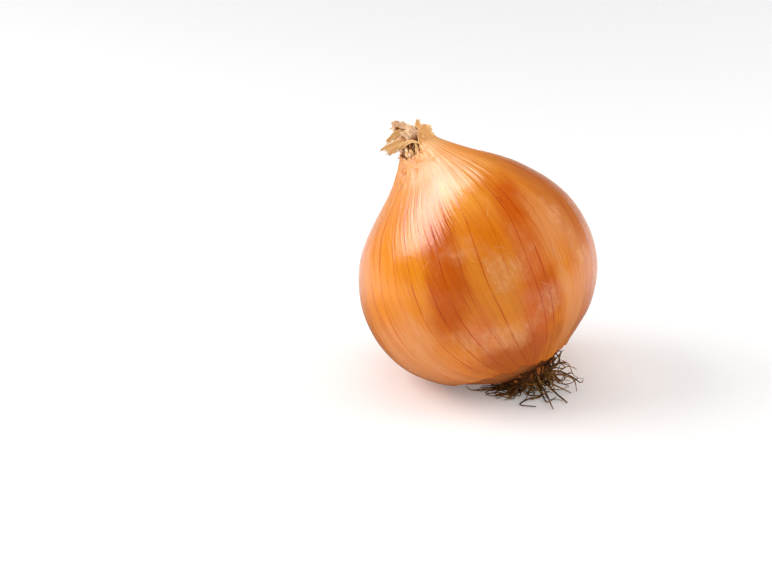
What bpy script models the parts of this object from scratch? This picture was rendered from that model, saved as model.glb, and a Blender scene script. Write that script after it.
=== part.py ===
"""A brown onion in its dry skins, leaning over on a small flat spot, with its neck husk and its roots.

Metres, +Z up. The origin is the middle of the flat spot on which the bulb rests. The onion's own axis
runs from the root plate up to the neck. It leans to the left (-X) and back (+Y), and its roots spread
out over the surface at the right and in front (-Y).

Three pieces:
  bulb       the body in its skins; the outer skin is torn off in a ragged line round the root end
  neck_husk  the dry straw-coloured top, a stub of dead leaf bases with torn and folded ends
  root_tuft  the root plate with the dry roots that grew from it
"""

import math
import random

import bmesh
import bpy
import numpy as np
from mathutils import Euler, Matrix, Vector, noise

MM = 0.001
TURN = 2 * math.pi

# Bulb. Heights run along the onion's axis from the middle of its widest girth, positive to the neck.
BULB_OUTLINE = [  # (height, radius) in mm, from the root plate to the neck
    (-37.6, 8.4),
    (-35.0, 14.0),
    (-31.0, 21.6),
    (-26.2, 28.8),
    (-18.0, 35.6),
    (-9.0, 39.1),
    (0.0, 40.0),
    (9.0, 38.7),
    (18.0, 34.8),
    (25.5, 29.2),
    (31.5, 22.5),
    (37.0, 15.4),
    (42.0, 10.2),
    (46.4, 6.5),
]
ROOT_END, NECK_END = BULB_OUTLINE[0][0] * MM, BULB_OUTLINE[-1][0] * MM
CURVE_STEPS = 12
LOBE_SHARE = 0.008  # how far the girth departs from a circle
LOBES = ((3, 0.6), (5, -0.4))  # waves round the girth and how strong each is
NECK_SHIFT = 2.7 * MM  # the neck stands a little to the right of the axis
NECK_SHIFT_FROM, NECK_SHIFT_TO = 20 * MM, 40 * MM
BULB_SEGMENTS = 72
RINGS_BELOW_TEAR, RINGS_ABOVE_TEAR = 8, 26
PLEATS = 24  # lengthwise folds of the skin, which rise towards the neck
PLEAT_HEIGHT = 0.45 * MM
PLEATS_FROM, PLEATS_TO = 22 * MM, 42 * MM

# Torn edge of the outer skin, round the root end
SKIN_STEP = 0.55 * MM
TEAR_MEAN, TEAR_SWING = -31.0 * MM, 4.4 * MM
TEAR_LOW_DEG = -50.0
TEAR_RAGGED = 0.8 * MM
TEAR_LIP = 0.35 * MM

# Pose: leaning to the left, then back, with a small flat pressed on the underside
LEAN_LEFT_DEG, LEAN_BACK_DEG = 28.0, 22.0
FLAT_DEPTH = 0.9 * MM
SHARP_DEG = 35.0  # edges that turn by more than this are sharp

# Neck husk
HUSK_GAP = 0.3 * MM
STUB_HEIGHT = 5.2 * MM
STUB_TOP_RADIUS = 3.4 * MM
STUB_RINGS = 4
STUB_FOLDS, STUB_FOLD_DEPTH = 6, 0.7 * MM
BLADE_THICKNESS = 0.8 * MM
BLADE_STATIONS = 7
BLADE_CROWN = 0.18  # how far a leaf end arches, as a share of its width
RIGHT, BACK, UP = Vector((1, 0, 0)), Vector((0, 1, 0)), Vector((0, 0, 1))
SLANTED = RIGHT + UP

# Leaf ends: the route in mm in the onion's axes, the way its width lies, and its widths in mm to the tip
BROAD_FOLD = ([(3.2, -2.4, 49), (1.6, -3.4, 52), (-0.2, -3, 54), (-2.2, -1.8, 55.6)], SLANTED, (6, 5, 4, 3))
HIGH_STRIP = ([(2.5, -1.5, 50.6), (-1.5, -3.2, 52.2), (-5, -3.6, 51.8), (-8, -3.2, 51)], UP, (3, 2.6, 2.2))
MIDDLE_STRIP = ([(2.5, -2.4, 49.6), (-1.5, -3.8, 51.2), (-6, -4, 50.6), (-10.4, -3, 50)], UP, (3, 2.6, 1.8))
LOW_STRIP = ([(2.5, -2, 48.6), (-1.5, -3.6, 49.8), (-5.6, -4, 49), (-9.4, -4, 48)], UP, (2.6, 2.4, 1.6))
RIGHT_FLAP = ([(6.8, -2.4, 47.6), (6.7, -2.2, 49.2), (5.4, -1.4, 50.9)], RIGHT + BACK * 0.8, (6, 5.4, 3.8))
SPIKE = ([(4.6, -0.8, 50.6), (5.2, -0.8, 52.6), (5.7, -0.8, 54.2)], RIGHT, (1.8, 1.5, 0.7))
BACK_FOLD = ([(1.6, 2.4, 48.6), (0.4, 4, 51.2), (-1.4, 5.4, 52.8)], RIGHT, (5, 4.4, 3))
BACK_FLAP = ([(4.4, 2.2, 49), (5.2, 3.8, 51.2), (6.6, 5.2, 52)], RIGHT - UP, (4.4, 4, 2.6))
LEAF_ENDS = [BROAD_FOLD, HIGH_STRIP, MIDDLE_STRIP, LOW_STRIP, RIGHT_FLAP, SPIKE, BACK_FOLD, BACK_FLAP]

# Roots
PLATE_GAP = 0.3 * MM
PLATE_RADIUS, PLATE_HEIGHT = 7.6 * MM, 2.6 * MM
PLATE_SEGMENTS, PLATE_RINGS = 24, 4
PLATE_DOME = 0.72  # how far the plate narrows at its end
PLATE_HEART = 0.7  # how deep in the plate the shaped roots start, as a share of its height
ROOT_RADIUS, ROOT_TAPER = 0.42 * MM, 0.35
ROOT_SIDES = 4
ROOT_STEP = 2.3 * MM
ROOT_CLEARANCE = 0.45 * MM
SHADED_RING = 12.5 * MM  # roots stay out of the narrow gap round the flat spot
LOWEST_SHARE = 0.8  # how high a root's middle lies above the surface, as a share of its radius
CLEARING_PASSES = 8
FREE_ROOTS = 24
FREE_ROOT_SPREAD, FREE_ROOT_DEPTH = 0.75, 0.6  # where they start, as shares of the plate's radius and height
FREE_ROOT_SPLAY = 0.9
FREE_ROOT_LENGTH = (10 * MM, 18 * MM)
ROOT_DRIFT = Vector((0.45, -0.25, 0))  # the tuft as a whole is brushed this way
ROOT_WANDER, ROOT_SAG = 0.5, 0.25
NEARLY_UP = Vector((0.13, 0.21, 0.97))  # no root runs along it, so it sets how a root's section lies
SEED = 7

# Roots whose course shows, as points in mm from the point on the surface under the bulb's middle
SHAPED_ROOTS = [
    [(20, -14, 4), (21.5, -16, 0.5), (20, -19, 0.5), (17, -20, 0.5), (13.8, -24.6, 0.5), (19, -26, 0.5)],
    [(21, -15, 3.5), (22.9, -18, 1.2), (24.4, -28, 0.5)],
    [(22, -14, 4), (27.1, -18.1, 0.6), (29.4, -22.9, 0.5)],
    [(20.5, -15, 2), (21.8, -18.5, 0.5), (23.0, -22.6, 0.5), (26.0, -20.4, 1.4)],
    [(17, -14.5, 2), (12.1, -14.6, 0.5), (9.6, -16.9, 0.5)],
    [(18, -15, 2), (16.3, -17.4, 0.5)],
    [(22, -13, 5), (26.2, -14, 6.6), (30.6, -13, 5.3), (32.6, -13.2, 3.6), (33.2, -14.4, 0.6)],
    [(22, -13, 4), (26.5, -14.5, 2.6), (31.2, -15.5, 0.6)],
    [(15, -14, 2.2), (9, -13.5, 0.8), (2.3, -12.3, 0.5), (-1.6, -13.2, 0.5), (-3.4, -9.9, 0.5)],
    [(16, -13, 3.4), (9.8, -12.2, 2.4), (5.4, -13.4, 1.0), (2.8, -15.4, 0.5), (6.2, -15.6, 0.5)],
]


def smoothstep(low, high, value):
    """0 below low, 1 above high, and a smooth rise between them."""
    share = min(1.0, max(0.0, (value - low) / (high - low)))
    return share * share * (3 - 2 * share)


def catmull_rom(points, steps):
    """Points along a smooth curve through the given ones, with so many steps to each span."""
    ends = [2 * points[0] - points[1]] + list(points) + [2 * points[-1] - points[-2]]
    smooth = []
    for before, start, end, after in zip(ends, ends[1:], ends[2:], ends[3:]):
        for step in range(steps):
            t = step / steps
            smooth.append(
                0.5
                * (
                    2 * start
                    + (end - before) * t
                    + (2 * before - 5 * start + 4 * end - after) * t**2
                    + (3 * start - before - 3 * end + after) * t**3
                )
            )
    smooth.append(points[-1])
    return smooth


OUTLINE_CURVE = np.array(catmull_rom([Vector(p) * MM for p in BULB_OUTLINE], CURVE_STEPS))
OUTLINE_HEIGHTS, OUTLINE_RADII = OUTLINE_CURVE[:, 0], OUTLINE_CURVE[:, 1]
OUTLINE_LENGTHS = np.concatenate([[0], np.cumsum(np.linalg.norm(np.diff(OUTLINE_CURVE, axis=0), axis=1))])


def radius_at(height):
    """The bulb's plain radius at a height on its axis."""
    return float(np.interp(height, OUTLINE_HEIGHTS, OUTLINE_RADII))


def length_to(height):
    """The way along the outline from the root end to a height."""
    return float(np.interp(height, OUTLINE_HEIGHTS, OUTLINE_LENGTHS))


def height_after(length):
    """The height reached after a way along the outline."""
    return float(np.interp(length, OUTLINE_LENGTHS, OUTLINE_HEIGHTS))


def neck_shift(height):
    """How far the middle of the section stands off the axis, to the right."""
    return NECK_SHIFT * smoothstep(NECK_SHIFT_FROM, NECK_SHIFT_TO, height)


def bulb_point(height, angle, lift=0.0):
    """A point on the bulb's surface in the onion's own axes, raised by lift."""
    lobes = sum(strength * math.sin(waves * angle) for waves, strength in LOBES)
    pleat = PLEAT_HEIGHT * math.cos(PLEATS * angle) * smoothstep(PLEATS_FROM, PLEATS_TO, height)
    radius = radius_at(height) * (1 + LOBE_SHARE * lobes) + pleat + lift
    return Vector((radius * math.cos(angle) + neck_shift(height), radius * math.sin(angle), height))


def tear_height(angle):
    """Height of the outer skin's torn edge, which is lowest at the right of the front."""
    swing = TEAR_MEAN - TEAR_SWING * math.cos(angle - math.radians(TEAR_LOW_DEG))
    ragged = noise.noise(Vector((4 * math.cos(angle), 4 * math.sin(angle), 3.1)))
    return swing + TEAR_RAGGED * 2 * ragged


def onion_placement():
    """The matrix from the onion's axes to the world, with the flat spot's middle at the origin."""
    turn = Euler((-math.radians(LEAN_BACK_DEG), 0, 0)).to_matrix()
    turn = turn @ Euler((0, -math.radians(LEAN_LEFT_DEG), 0)).to_matrix()
    down = turn.inverted() @ Vector((0, 0, -1))
    side = math.hypot(down.x, down.y)
    reach = OUTLINE_RADII * side + OUTLINE_HEIGHTS * down.z
    lowest = int(np.argmax(reach))
    under = Vector((OUTLINE_RADII[lowest] * down.x / side, OUTLINE_RADII[lowest] * down.y / side, 0))
    under.z = OUTLINE_HEIGHTS[lowest]
    foot = turn @ under
    centre = Vector((-foot.x, -foot.y, -foot.z - FLAT_DEPTH))
    return Matrix.Translation(centre) @ turn.to_4x4()


PLACEMENT = onion_placement()
BULB_CENTRE = PLACEMENT.translation


def material(name, colour, roughness):
    """A Principled material of one colour."""
    made = bpy.data.materials.new(name)
    made.use_nodes = True
    shader = made.node_tree.nodes["Principled BSDF"]
    shader.inputs["Base Color"].default_value = (*colour, 1)
    shader.inputs["Roughness"].default_value = roughness
    shader.inputs["Metallic"].default_value = 0
    made.diffuse_color = (*colour, 1)
    return made


def lofted(name, rings, finish):
    """An object whose closed mesh runs through rings of equally many points, with a face on each end."""
    mesh = bpy.data.meshes.new(name)
    bm = bmesh.new()
    rows = [[bm.verts.new(point) for point in ring] for ring in rings]
    for low, high in zip(rows, rows[1:]):
        for i in range(len(low)):
            j = (i + 1) % len(low)
            bm.faces.new((low[i], low[j], high[j], high[i]))
    bm.faces.new(list(reversed(rows[0])))
    bm.faces.new(rows[-1])
    bmesh.ops.recalc_face_normals(bm, faces=bm.faces)
    bmesh.ops.triangulate(bm, faces=bm.faces)
    bm.to_mesh(mesh)
    bm.free()
    mesh.materials.append(finish)
    mesh.shade_smooth()
    made = bpy.data.objects.new(name, mesh)
    bpy.context.scene.collection.objects.link(made)
    return made


def keep_outer_shell(mesh):
    """Fills the hollows that fusing sealed, and drops loose scraps, by keeping the widest shell alone."""
    bm = bmesh.new()
    bm.from_mesh(mesh)
    unseen = set(bm.verts)
    shells = []
    while unseen:
        front = [unseen.pop()]
        shell = list(front)
        while front:
            for edge in front.pop().link_edges:
                for vertex in edge.verts:
                    if vertex in unseen:
                        unseen.remove(vertex)
                        front.append(vertex)
                        shell.append(vertex)
        shells.append(shell)
    widest = max(shells, key=lambda shell: max(v.co.x for v in shell) - min(v.co.x for v in shell))
    spare = [vertex for shell in shells if shell is not widest for vertex in shell]
    bmesh.ops.delete(bm, geom=spare, context="VERTS")
    bm.to_mesh(mesh)
    bm.free()


def fuse(core, pieces):
    """Joins the pieces to the core as one body, and removes them."""
    group = bpy.data.collections.new(core.name + "_pieces")
    bpy.context.scene.collection.children.link(group)
    for piece in pieces:
        bpy.context.scene.collection.objects.unlink(piece)
        group.objects.link(piece)
    union = core.modifiers.new("Union", "BOOLEAN")
    union.operation = "UNION"
    union.operand_type = "COLLECTION"
    union.collection = group
    union.solver = "MANIFOLD"
    bpy.context.view_layer.objects.active = core
    bpy.ops.object.modifier_apply(modifier=union.name)
    for piece in pieces:
        bpy.data.objects.remove(piece)
    bpy.data.collections.remove(group)
    keep_outer_shell(core.data)
    core.data.shade_smooth()


def make_bulb(finish):
    """The bulb, with the torn step of its outer skin, cut flat where it rests."""
    angles = [TURN * i / BULB_SEGMENTS for i in range(BULB_SEGMENTS)]
    rings = []
    for k in range(RINGS_BELOW_TEAR + 1):
        ring = []
        for angle in angles:
            edge = length_to(tear_height(angle) - TEAR_LIP / 2)
            ring.append(bulb_point(height_after(edge * k / RINGS_BELOW_TEAR), angle, -SKIN_STEP))
        rings.append(ring)
    for k in range(RINGS_ABOVE_TEAR + 1):
        ring = []
        for angle in angles:
            edge = length_to(tear_height(angle) + TEAR_LIP / 2)
            rest = OUTLINE_LENGTHS[-1] - edge
            ring.append(bulb_point(height_after(edge + rest * k / RINGS_ABOVE_TEAR), angle))
        rings.append(ring)
    bulb = lofted("bulb", rings, finish)
    bulb.matrix_world = PLACEMENT
    to_bulb = PLACEMENT.inverted()
    bm = bmesh.new()
    bm.from_mesh(bulb.data)
    cut = bmesh.ops.bisect_plane(
        bm,
        geom=bm.verts[:] + bm.edges[:] + bm.faces[:],
        plane_co=to_bulb @ Vector((0, 0, 0)),
        plane_no=to_bulb.to_3x3() @ Vector((0, 0, -1)),
        clear_outer=True,
    )
    rim = [item for item in cut["geom_cut"] if isinstance(item, bmesh.types.BMEdge)]
    flat = bmesh.ops.contextual_create(bm, geom=rim)["faces"]
    bmesh.ops.triangulate(bm, faces=flat)
    bmesh.ops.recalc_face_normals(bm, faces=bm.faces)
    bm.to_mesh(bulb.data)
    bm.free()
    bulb.data.set_sharp_from_angle(angle=math.radians(SHARP_DEG))
    return bulb


def blade(name, route, across, widths, finish):
    """A leaf end: a thin arched strip along a smooth route, as wide as the widths say from root to tip.

    The route and the widths are in mm. The strip's width lies along the vector across.
    """
    points = catmull_rom([Vector(p) * MM for p in route], 2)
    points = [points[round(i * (len(points) - 1) / (BLADE_STATIONS - 1))] for i in range(BLADE_STATIONS)]
    rings = []
    for i, point in enumerate(points):
        along = (points[min(i + 1, len(points) - 1)] - points[max(i - 1, 0)]).normalized()
        side = (across - across.dot(along) * along).normalized()
        face = along.cross(side)
        share = i / (BLADE_STATIONS - 1)
        width = float(np.interp(share, np.linspace(0, 1, len(widths)), widths)) * MM
        crown = BLADE_CROWN * width
        half = BLADE_THICKNESS / 2
        rings.append(
            [
                point - side * width / 2 - face * half,
                point + face * (crown - half),
                point + side * width / 2 - face * half,
                point + side * width / 2 + face * half,
                point + face * (crown + half),
                point - side * width / 2 + face * half,
            ]
        )
    return lofted(name, rings, finish)


def make_neck_husk(finish):
    """The dry top: a folded stub, and torn leaf ends that bend over it."""
    rings = []
    for k in range(STUB_RINGS + 1):
        share = k / STUB_RINGS
        height = NECK_END + HUSK_GAP + STUB_HEIGHT * share
        base = radius_at(NECK_END) + (STUB_TOP_RADIUS - radius_at(NECK_END)) * share**0.8
        ring = []
        for i in range(BULB_SEGMENTS):
            angle = TURN * i / BULB_SEGMENTS
            pleat = PLEAT_HEIGHT * math.cos(PLEATS * angle) * (1 - share)
            fold = STUB_FOLD_DEPTH * math.cos(STUB_FOLDS * angle + 1.4 * share) * share
            radius = base + pleat + fold
            ring.append(Vector((NECK_SHIFT + radius * math.cos(angle), radius * math.sin(angle), height)))
        rings.append(ring)
    stub = lofted("neck_husk", rings, finish)
    pieces = [blade(f"leaf_end_{i}", *leaf_end, finish) for i, leaf_end in enumerate(LEAF_ENDS)]
    fuse(stub, pieces)
    stub.matrix_world = PLACEMENT
    return stub


def clear_of_bulb(point):
    """A root's point, moved where it has to be off the bulb, the surface and the gap round the flat."""
    gap = ROOT_RADIUS + ROOT_CLEARANCE
    to_bulb = PLACEMENT.inverted()
    for _ in range(CLEARING_PASSES):
        across = Vector((point.x, point.y, 0))
        if across.length < SHADED_RING:
            point = across.normalized() * SHADED_RING + Vector((0, 0, point.z))
        inside = to_bulb @ point
        axis_distance = math.hypot(inside.x, inside.y)
        if inside.z > ROOT_END - gap:
            slope = (radius_at(inside.z + MM) - radius_at(inside.z - MM)) / (2 * MM)
            steep = math.hypot(1, slope)
            depth = (radius_at(inside.z) + gap * steep - axis_distance) / steep
            if depth > 0:
                outward = Vector((inside.x / axis_distance, inside.y / axis_distance, -slope)) / steep
                inside += outward * depth
                point = PLACEMENT @ inside
        point.z = max(point.z, LOWEST_SHARE * ROOT_RADIUS)
    return point


def root_solid(name, points, finish):
    """A root: a thin square tube through the points, finer at its tip, and flat where it lies."""
    rings = []
    for i, point in enumerate(points):
        along = (points[min(i + 1, len(points) - 1)] - points[max(i - 1, 0)]).normalized()
        side = along.cross(NEARLY_UP).normalized()
        over = along.cross(side)
        thick = ROOT_RADIUS * (1 - ROOT_TAPER * i / (len(points) - 1))
        ring = []
        for k in range(ROOT_SIDES):
            turn = TURN * (k + 0.5) / ROOT_SIDES
            corner = point + (side * math.cos(turn) + over * math.sin(turn)) * thick
            corner.z = max(corner.z, 0)
            ring.append(corner)
        rings.append(ring)
    return lofted(name, rings, finish)


def free_root_course(random_source):
    """Points of a root that leaves the plate at random, sags to the surface and wanders along it."""
    angle = random_source.uniform(0, TURN)
    spread = PLATE_RADIUS * FREE_ROOT_SPREAD * math.sqrt(random_source.random())
    height = ROOT_END - PLATE_HEIGHT * FREE_ROOT_DEPTH
    start = Vector((spread * math.cos(angle), spread * math.sin(angle), height))
    heading = Vector((FREE_ROOT_SPLAY * math.cos(angle), FREE_ROOT_SPLAY * math.sin(angle), -1))
    heading.normalize()
    point, heading = PLACEMENT @ start, PLACEMENT.to_3x3() @ heading
    heading += ROOT_DRIFT
    length = random_source.uniform(*FREE_ROOT_LENGTH)
    points = [point]
    for _ in range(round(length / ROOT_STEP)):
        heading = heading.normalized()
        heading += Vector([random_source.uniform(-ROOT_WANDER, ROOT_WANDER) for _ in range(3)])
        heading.z -= ROOT_SAG
        if point.z < 3 * ROOT_RADIUS:
            heading.z = random_source.uniform(-0.1, ROOT_SAG)
        point = clear_of_bulb(point + heading.normalized() * ROOT_STEP)
        points.append(point)
    return points


def make_root_tuft(finish):
    """The root plate, a low dome on the root end, with every root sunk into it."""
    rings = []
    for k in range(PLATE_RINGS + 1):
        share = k / PLATE_RINGS
        height = ROOT_END - PLATE_GAP - PLATE_HEIGHT * share
        radius = PLATE_RADIUS * math.sqrt(1 - PLATE_DOME * share**2)
        rings.append(
            [
                PLACEMENT @ Vector((radius * math.cos(turn), radius * math.sin(turn), height))
                for turn in (TURN * i / PLATE_SEGMENTS for i in range(PLATE_SEGMENTS))
            ]
        )
    tuft = lofted("root_tuft", rings, finish)
    random_source = random.Random(SEED)
    plate_heart = PLACEMENT @ Vector((0, 0, ROOT_END - PLATE_HEIGHT * PLATE_HEART))
    below_middle = Vector((BULB_CENTRE.x, BULB_CENTRE.y, 0))
    courses = []
    for shaped in SHAPED_ROOTS:
        corners = [plate_heart] + [below_middle + Vector(p) * MM for p in shaped]
        courses.append([clear_of_bulb(p) for p in catmull_rom(corners, 2)])
    for course in courses:
        course[0] = plate_heart
    courses += [free_root_course(random_source) for _ in range(FREE_ROOTS)]
    roots = [root_solid(f"root_{i}", course, finish) for i, course in enumerate(courses)]
    fuse(tuft, roots)
    return tuft


def main():
    """Clears the scene and makes the three pieces."""
    for old in list(bpy.data.objects):
        bpy.data.objects.remove(old)
    skin = material("golden_brown_skin", (0.62, 0.24, 0.05), 0.35)
    straw = material("dry_straw", (0.70, 0.45, 0.22), 0.8)
    root = material("dry_root", (0.13, 0.07, 0.035), 0.85)
    make_bulb(skin)
    make_neck_husk(straw)
    make_root_tuft(root)


main()
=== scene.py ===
"""The onion dressed: fine skins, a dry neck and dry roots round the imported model, with camera and light.

Metres, +Z up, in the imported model's frame. The origin is the middle of the flat spot under the bulb. The
onion's own axes have their origin in the middle of the widest girth, and +Z to the neck.
"""

import logging
import math
import random
from dataclasses import dataclass, field
from enum import Enum
from typing import Callable, Sequence

import bpy
import numpy as np
from mathutils import Euler, Matrix, Vector, noise


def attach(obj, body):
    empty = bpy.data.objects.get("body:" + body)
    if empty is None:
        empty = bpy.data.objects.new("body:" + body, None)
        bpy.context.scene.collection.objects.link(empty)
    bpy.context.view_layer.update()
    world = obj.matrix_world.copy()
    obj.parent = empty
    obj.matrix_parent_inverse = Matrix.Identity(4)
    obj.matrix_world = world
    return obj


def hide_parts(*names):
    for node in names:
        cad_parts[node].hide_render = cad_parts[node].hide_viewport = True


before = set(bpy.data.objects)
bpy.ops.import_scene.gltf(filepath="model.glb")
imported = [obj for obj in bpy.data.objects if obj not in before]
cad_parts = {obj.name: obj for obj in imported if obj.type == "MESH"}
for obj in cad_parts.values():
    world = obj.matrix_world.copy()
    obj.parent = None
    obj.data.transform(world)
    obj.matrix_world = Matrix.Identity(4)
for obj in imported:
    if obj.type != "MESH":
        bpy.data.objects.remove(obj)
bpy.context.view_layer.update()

MM = 0.001
TURN = 2 * math.pi
BODY = "root"
LOG = logging.getLogger("onion")

Point = tuple[float, float, float]
Colour = tuple[float, float, float]
Course = tuple[list[Vector], float]
Socket = bpy.types.NodeSocket


def smoothstep(low: float, high: float, value: float) -> float:
    """Gives a smooth rise from 0 to 1.

    Args:
        low: The value at which the rise starts.
        high: The value at which it ends.
        value: Where to read it.

    Returns:
        0 below low, 1 above high.
    """
    share = min(1.0, max(0.0, (value - low) / (high - low)))
    return share * share * (3 - 2 * share)


def curve_at(points: Sequence[Vector], share: float) -> Vector:
    """Reads a smooth curve through points.

    Args:
        points: The points, spaced evenly in share.
        share: The way along, from 0 to 1.

    Returns:
        The point there, on the Catmull-Rom curve.
    """
    spans = len(points) - 1
    index = min(int(share * spans), spans - 1)
    t = share * spans - index
    start, end = points[index], points[index + 1]
    before = points[index - 1] if index else 2 * start - end
    after = points[index + 2] if index + 2 <= spans else 2 * end - start
    linear = (end - before) * t
    square = (2 * before - 5 * start + 4 * end - after) * t**2
    cube = (3 * start - before - 3 * end + after) * t**3
    return 0.5 * (2 * start + linear + square + cube)


def select_only(thing: bpy.types.Object) -> None:
    """Makes one object the only selected and the active one.

    Args:
        thing: The object.
    """
    bpy.ops.object.select_all(action="DESELECT")
    thing.select_set(True)
    bpy.context.view_layer.objects.active = thing


def join_pieces(pieces: Sequence[bpy.types.Object], name: str) -> bpy.types.Object:
    """Joins pieces into one.

    Args:
        pieces: The pieces. The first one takes in the others.
        name: The joined piece's name.

    Returns:
        The joined piece.
    """
    bpy.ops.object.select_all(action="DESELECT")
    for piece in pieces:
        piece.select_set(True)
    joined = pieces[0]
    bpy.context.view_layer.objects.active = joined
    bpy.ops.object.join()
    joined.name = joined.data.name = name
    return joined


def thicken(thing: bpy.types.Object, thickness: float, offset: float = -1.0) -> None:
    """Gives an open sheet its thickness.

    Args:
        thing: The sheet.
        thickness: In metres.
        offset: -1 to thicken inwards, 0 to both sides.
    """
    select_only(thing)
    wall = thing.modifiers.new("Thickness", "SOLIDIFY")
    wall.thickness = thickness
    wall.offset = offset
    bpy.ops.object.modifier_apply(modifier=wall.name)


def write_attribute(mesh: bpy.types.Mesh, name: str, values: Sequence[Sequence[float]]) -> None:
    """Keeps a vector for each vertex.

    Args:
        mesh: The mesh.
        name: The attribute's name.
        values: One vector for each vertex.
    """
    attribute = mesh.attributes.new(name, "FLOAT_VECTOR", "POINT")
    attribute.data.foreach_set("vector", np.array(values, dtype=np.float32).ravel())


def finish_piece(thing: bpy.types.Object, node: str, finish: bpy.types.Material) -> None:
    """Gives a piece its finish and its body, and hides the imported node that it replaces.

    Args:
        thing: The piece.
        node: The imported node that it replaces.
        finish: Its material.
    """
    thing.data.materials.clear()
    thing.data.materials.append(finish)
    thing.data.shade_smooth()
    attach(thing, BODY)
    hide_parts(node)
    LOG.info("%s: %d vertices, for %s", thing.name, len(thing.data.vertices), node)


@dataclass
class BulbForm:
    """The bulb's surface in the onion's own axes, as a way along its outline and an angle round it.

    Heights and radii are in millimetres where a name ends in _mm, and in metres elsewhere.
    """

    outline_mm: tuple[tuple[float, float], ...] = (
        (-37.6, 8.4),
        (-35.0, 14.0),
        (-31.0, 21.6),
        (-26.2, 28.8),
        (-18.0, 35.6),
        (-9.0, 39.1),
        (0.0, 40.0),
        (9.0, 38.7),
        (18.0, 34.8),
        (25.5, 29.2),
        (31.5, 22.5),
        (37.0, 15.4),
        (42.0, 10.2),
        (46.4, 6.5),
        (49.6, 5.7),
        (52.6, 4.9),
    )
    curve_steps: int = 12
    cap_steps: int = 8
    lobe_share: float = 0.008
    neck_shift: float = 2.7 * MM
    neck_shift_from: float = 20 * MM
    neck_shift_to: float = 40 * MM
    pleats: int = 38
    pleat_height: float = 0.06 * MM
    pleats_from: float = 22 * MM
    pleats_to: float = 42 * MM
    fine_height: float = 0.07 * MM
    rib_height: float = 0.06 * MM
    dent_height: float = 0.22 * MM
    crumple_height: float = 1.5 * MM
    crumple_wave: float = 2.0 * MM
    crumple_deg: float = -128.0
    crumple_from: float = 35 * MM
    crumple_to: float = 41 * MM
    lean_left_deg: float = 28.0
    lean_back_deg: float = 22.0
    flat_depth: float = 0.9 * MM
    lengths: np.ndarray = field(init=False)
    heights: np.ndarray = field(init=False)
    radii: np.ndarray = field(init=False)
    placement: Matrix = field(init=False)

    def __post_init__(self) -> None:
        """Works out the curve through the outline's points, and the onion's place."""
        points = [Vector(point) * MM for point in self.outline_mm]
        count = (len(points) - 1) * self.curve_steps
        curve = [curve_at(points, step / count) for step in range(count + 1)]
        middle = Vector((curve[0].x, 0.0))
        cap = [middle.lerp(curve[0], step / self.cap_steps) for step in range(self.cap_steps)]
        curve = cap + curve
        steps = [0.0] + [(b - a).length for a, b in zip(curve, curve[1:])]
        self.lengths = np.cumsum(steps)
        self.heights = np.array([point.x for point in curve])
        self.radii = np.array([point.y for point in curve])
        self.placement = self._placed()

    def _placed(self) -> Matrix:
        """Works out the matrix from the onion's axes to the frame.

        Returns:
            The matrix that puts the middle of the flat spot at the frame's origin.
        """
        turn = Euler((-math.radians(self.lean_back_deg), 0, 0)).to_matrix()
        turn = turn @ Euler((0, -math.radians(self.lean_left_deg), 0)).to_matrix()
        down = turn.inverted() @ Vector((0, 0, -1))
        side = math.hypot(down.x, down.y)
        lowest = int(np.argmax(self.radii * side + self.heights * down.z))
        radius, height = self.radii[lowest], self.heights[lowest]
        foot = turn @ Vector((radius * down.x / side, radius * down.y / side, height))
        place = Vector((-foot.x, -foot.y, -foot.z - self.flat_depth))
        return Matrix.Translation(place) @ turn.to_4x4()

    def length_at(self, height: float) -> float:
        """The way along the outline to a height on the axis."""
        side = slice(self.cap_steps, None)
        return float(np.interp(height, self.heights[side], self.lengths[side]))

    def height_after(self, length: float) -> float:
        """The height reached after a way along the outline."""
        return float(np.interp(length, self.lengths, self.heights))

    def radius_after(self, length: float) -> float:
        """The plain radius reached after a way along the outline."""
        return float(np.interp(length, self.lengths, self.radii))

    def radius_at(self, height: float) -> float:
        """The plain radius at a height on the axis."""
        return self.radius_after(self.length_at(height))

    def ripple(self, angle: float, height: float, around: float, along: float, seed: float) -> float:
        """Reads a noise that closes round the bulb.

        Args:
            angle: The angle round the axis.
            height: The height on the axis.
            around: How fine it is round the bulb: the radius of the circle it is read on.
            along: How long its waves are along the axis, in metres.
            seed: Sets one noise apart from another.

        Returns:
            A value between about -1 and 1.
        """
        place = (math.cos(angle) * around, math.sin(angle) * around, height / along + seed)
        return noise.noise(Vector(place))

    def relief(self, height: float, angle: float) -> float:
        """Works out how far the pleats, folds and dents lift the skin.

        Args:
            height: The height on the axis.
            angle: The angle round the axis.

        Returns:
            The lift in metres.
        """
        rise = smoothstep(self.pleats_from, self.pleats_to, height)
        sway = self.ripple(angle, height, 1.6, 30 * MM, 11)
        pleat = 2 * abs(math.cos(self.pleats / 2 * angle + 0.8 * sway)) - 1
        strength = 0.22 + 0.45 * self.ripple(angle, height, 4, 60 * MM, 23)
        gathered = self.pleat_height * pleat * rise * strength
        early = smoothstep(10 * MM, 36 * MM, height)
        fine = self.fine_height * early * self.ripple(angle, height, 17, 70 * MM, 31)
        ribs = self.rib_height * (1 - 0.6 * rise) * self.ripple(angle, height, 11, 90 * MM, 47)
        dents = self.dent_height * self.ripple(angle, height, 1.7, 34 * MM, 53)
        crumple = 0.0
        beside = math.cos(angle - math.radians(self.crumple_deg))
        if height > self.crumple_from and beside > 0.4:
            here = smoothstep(0.45, 0.9, beside) * smoothstep(self.crumple_from, self.crumple_to, height)
            folds = 0.25 - abs(self.ripple(angle, height, 6.5, self.crumple_wave, 61))
            crumple = self.crumple_height * here * folds
        return gathered + fine + ribs + dents + crumple

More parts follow.
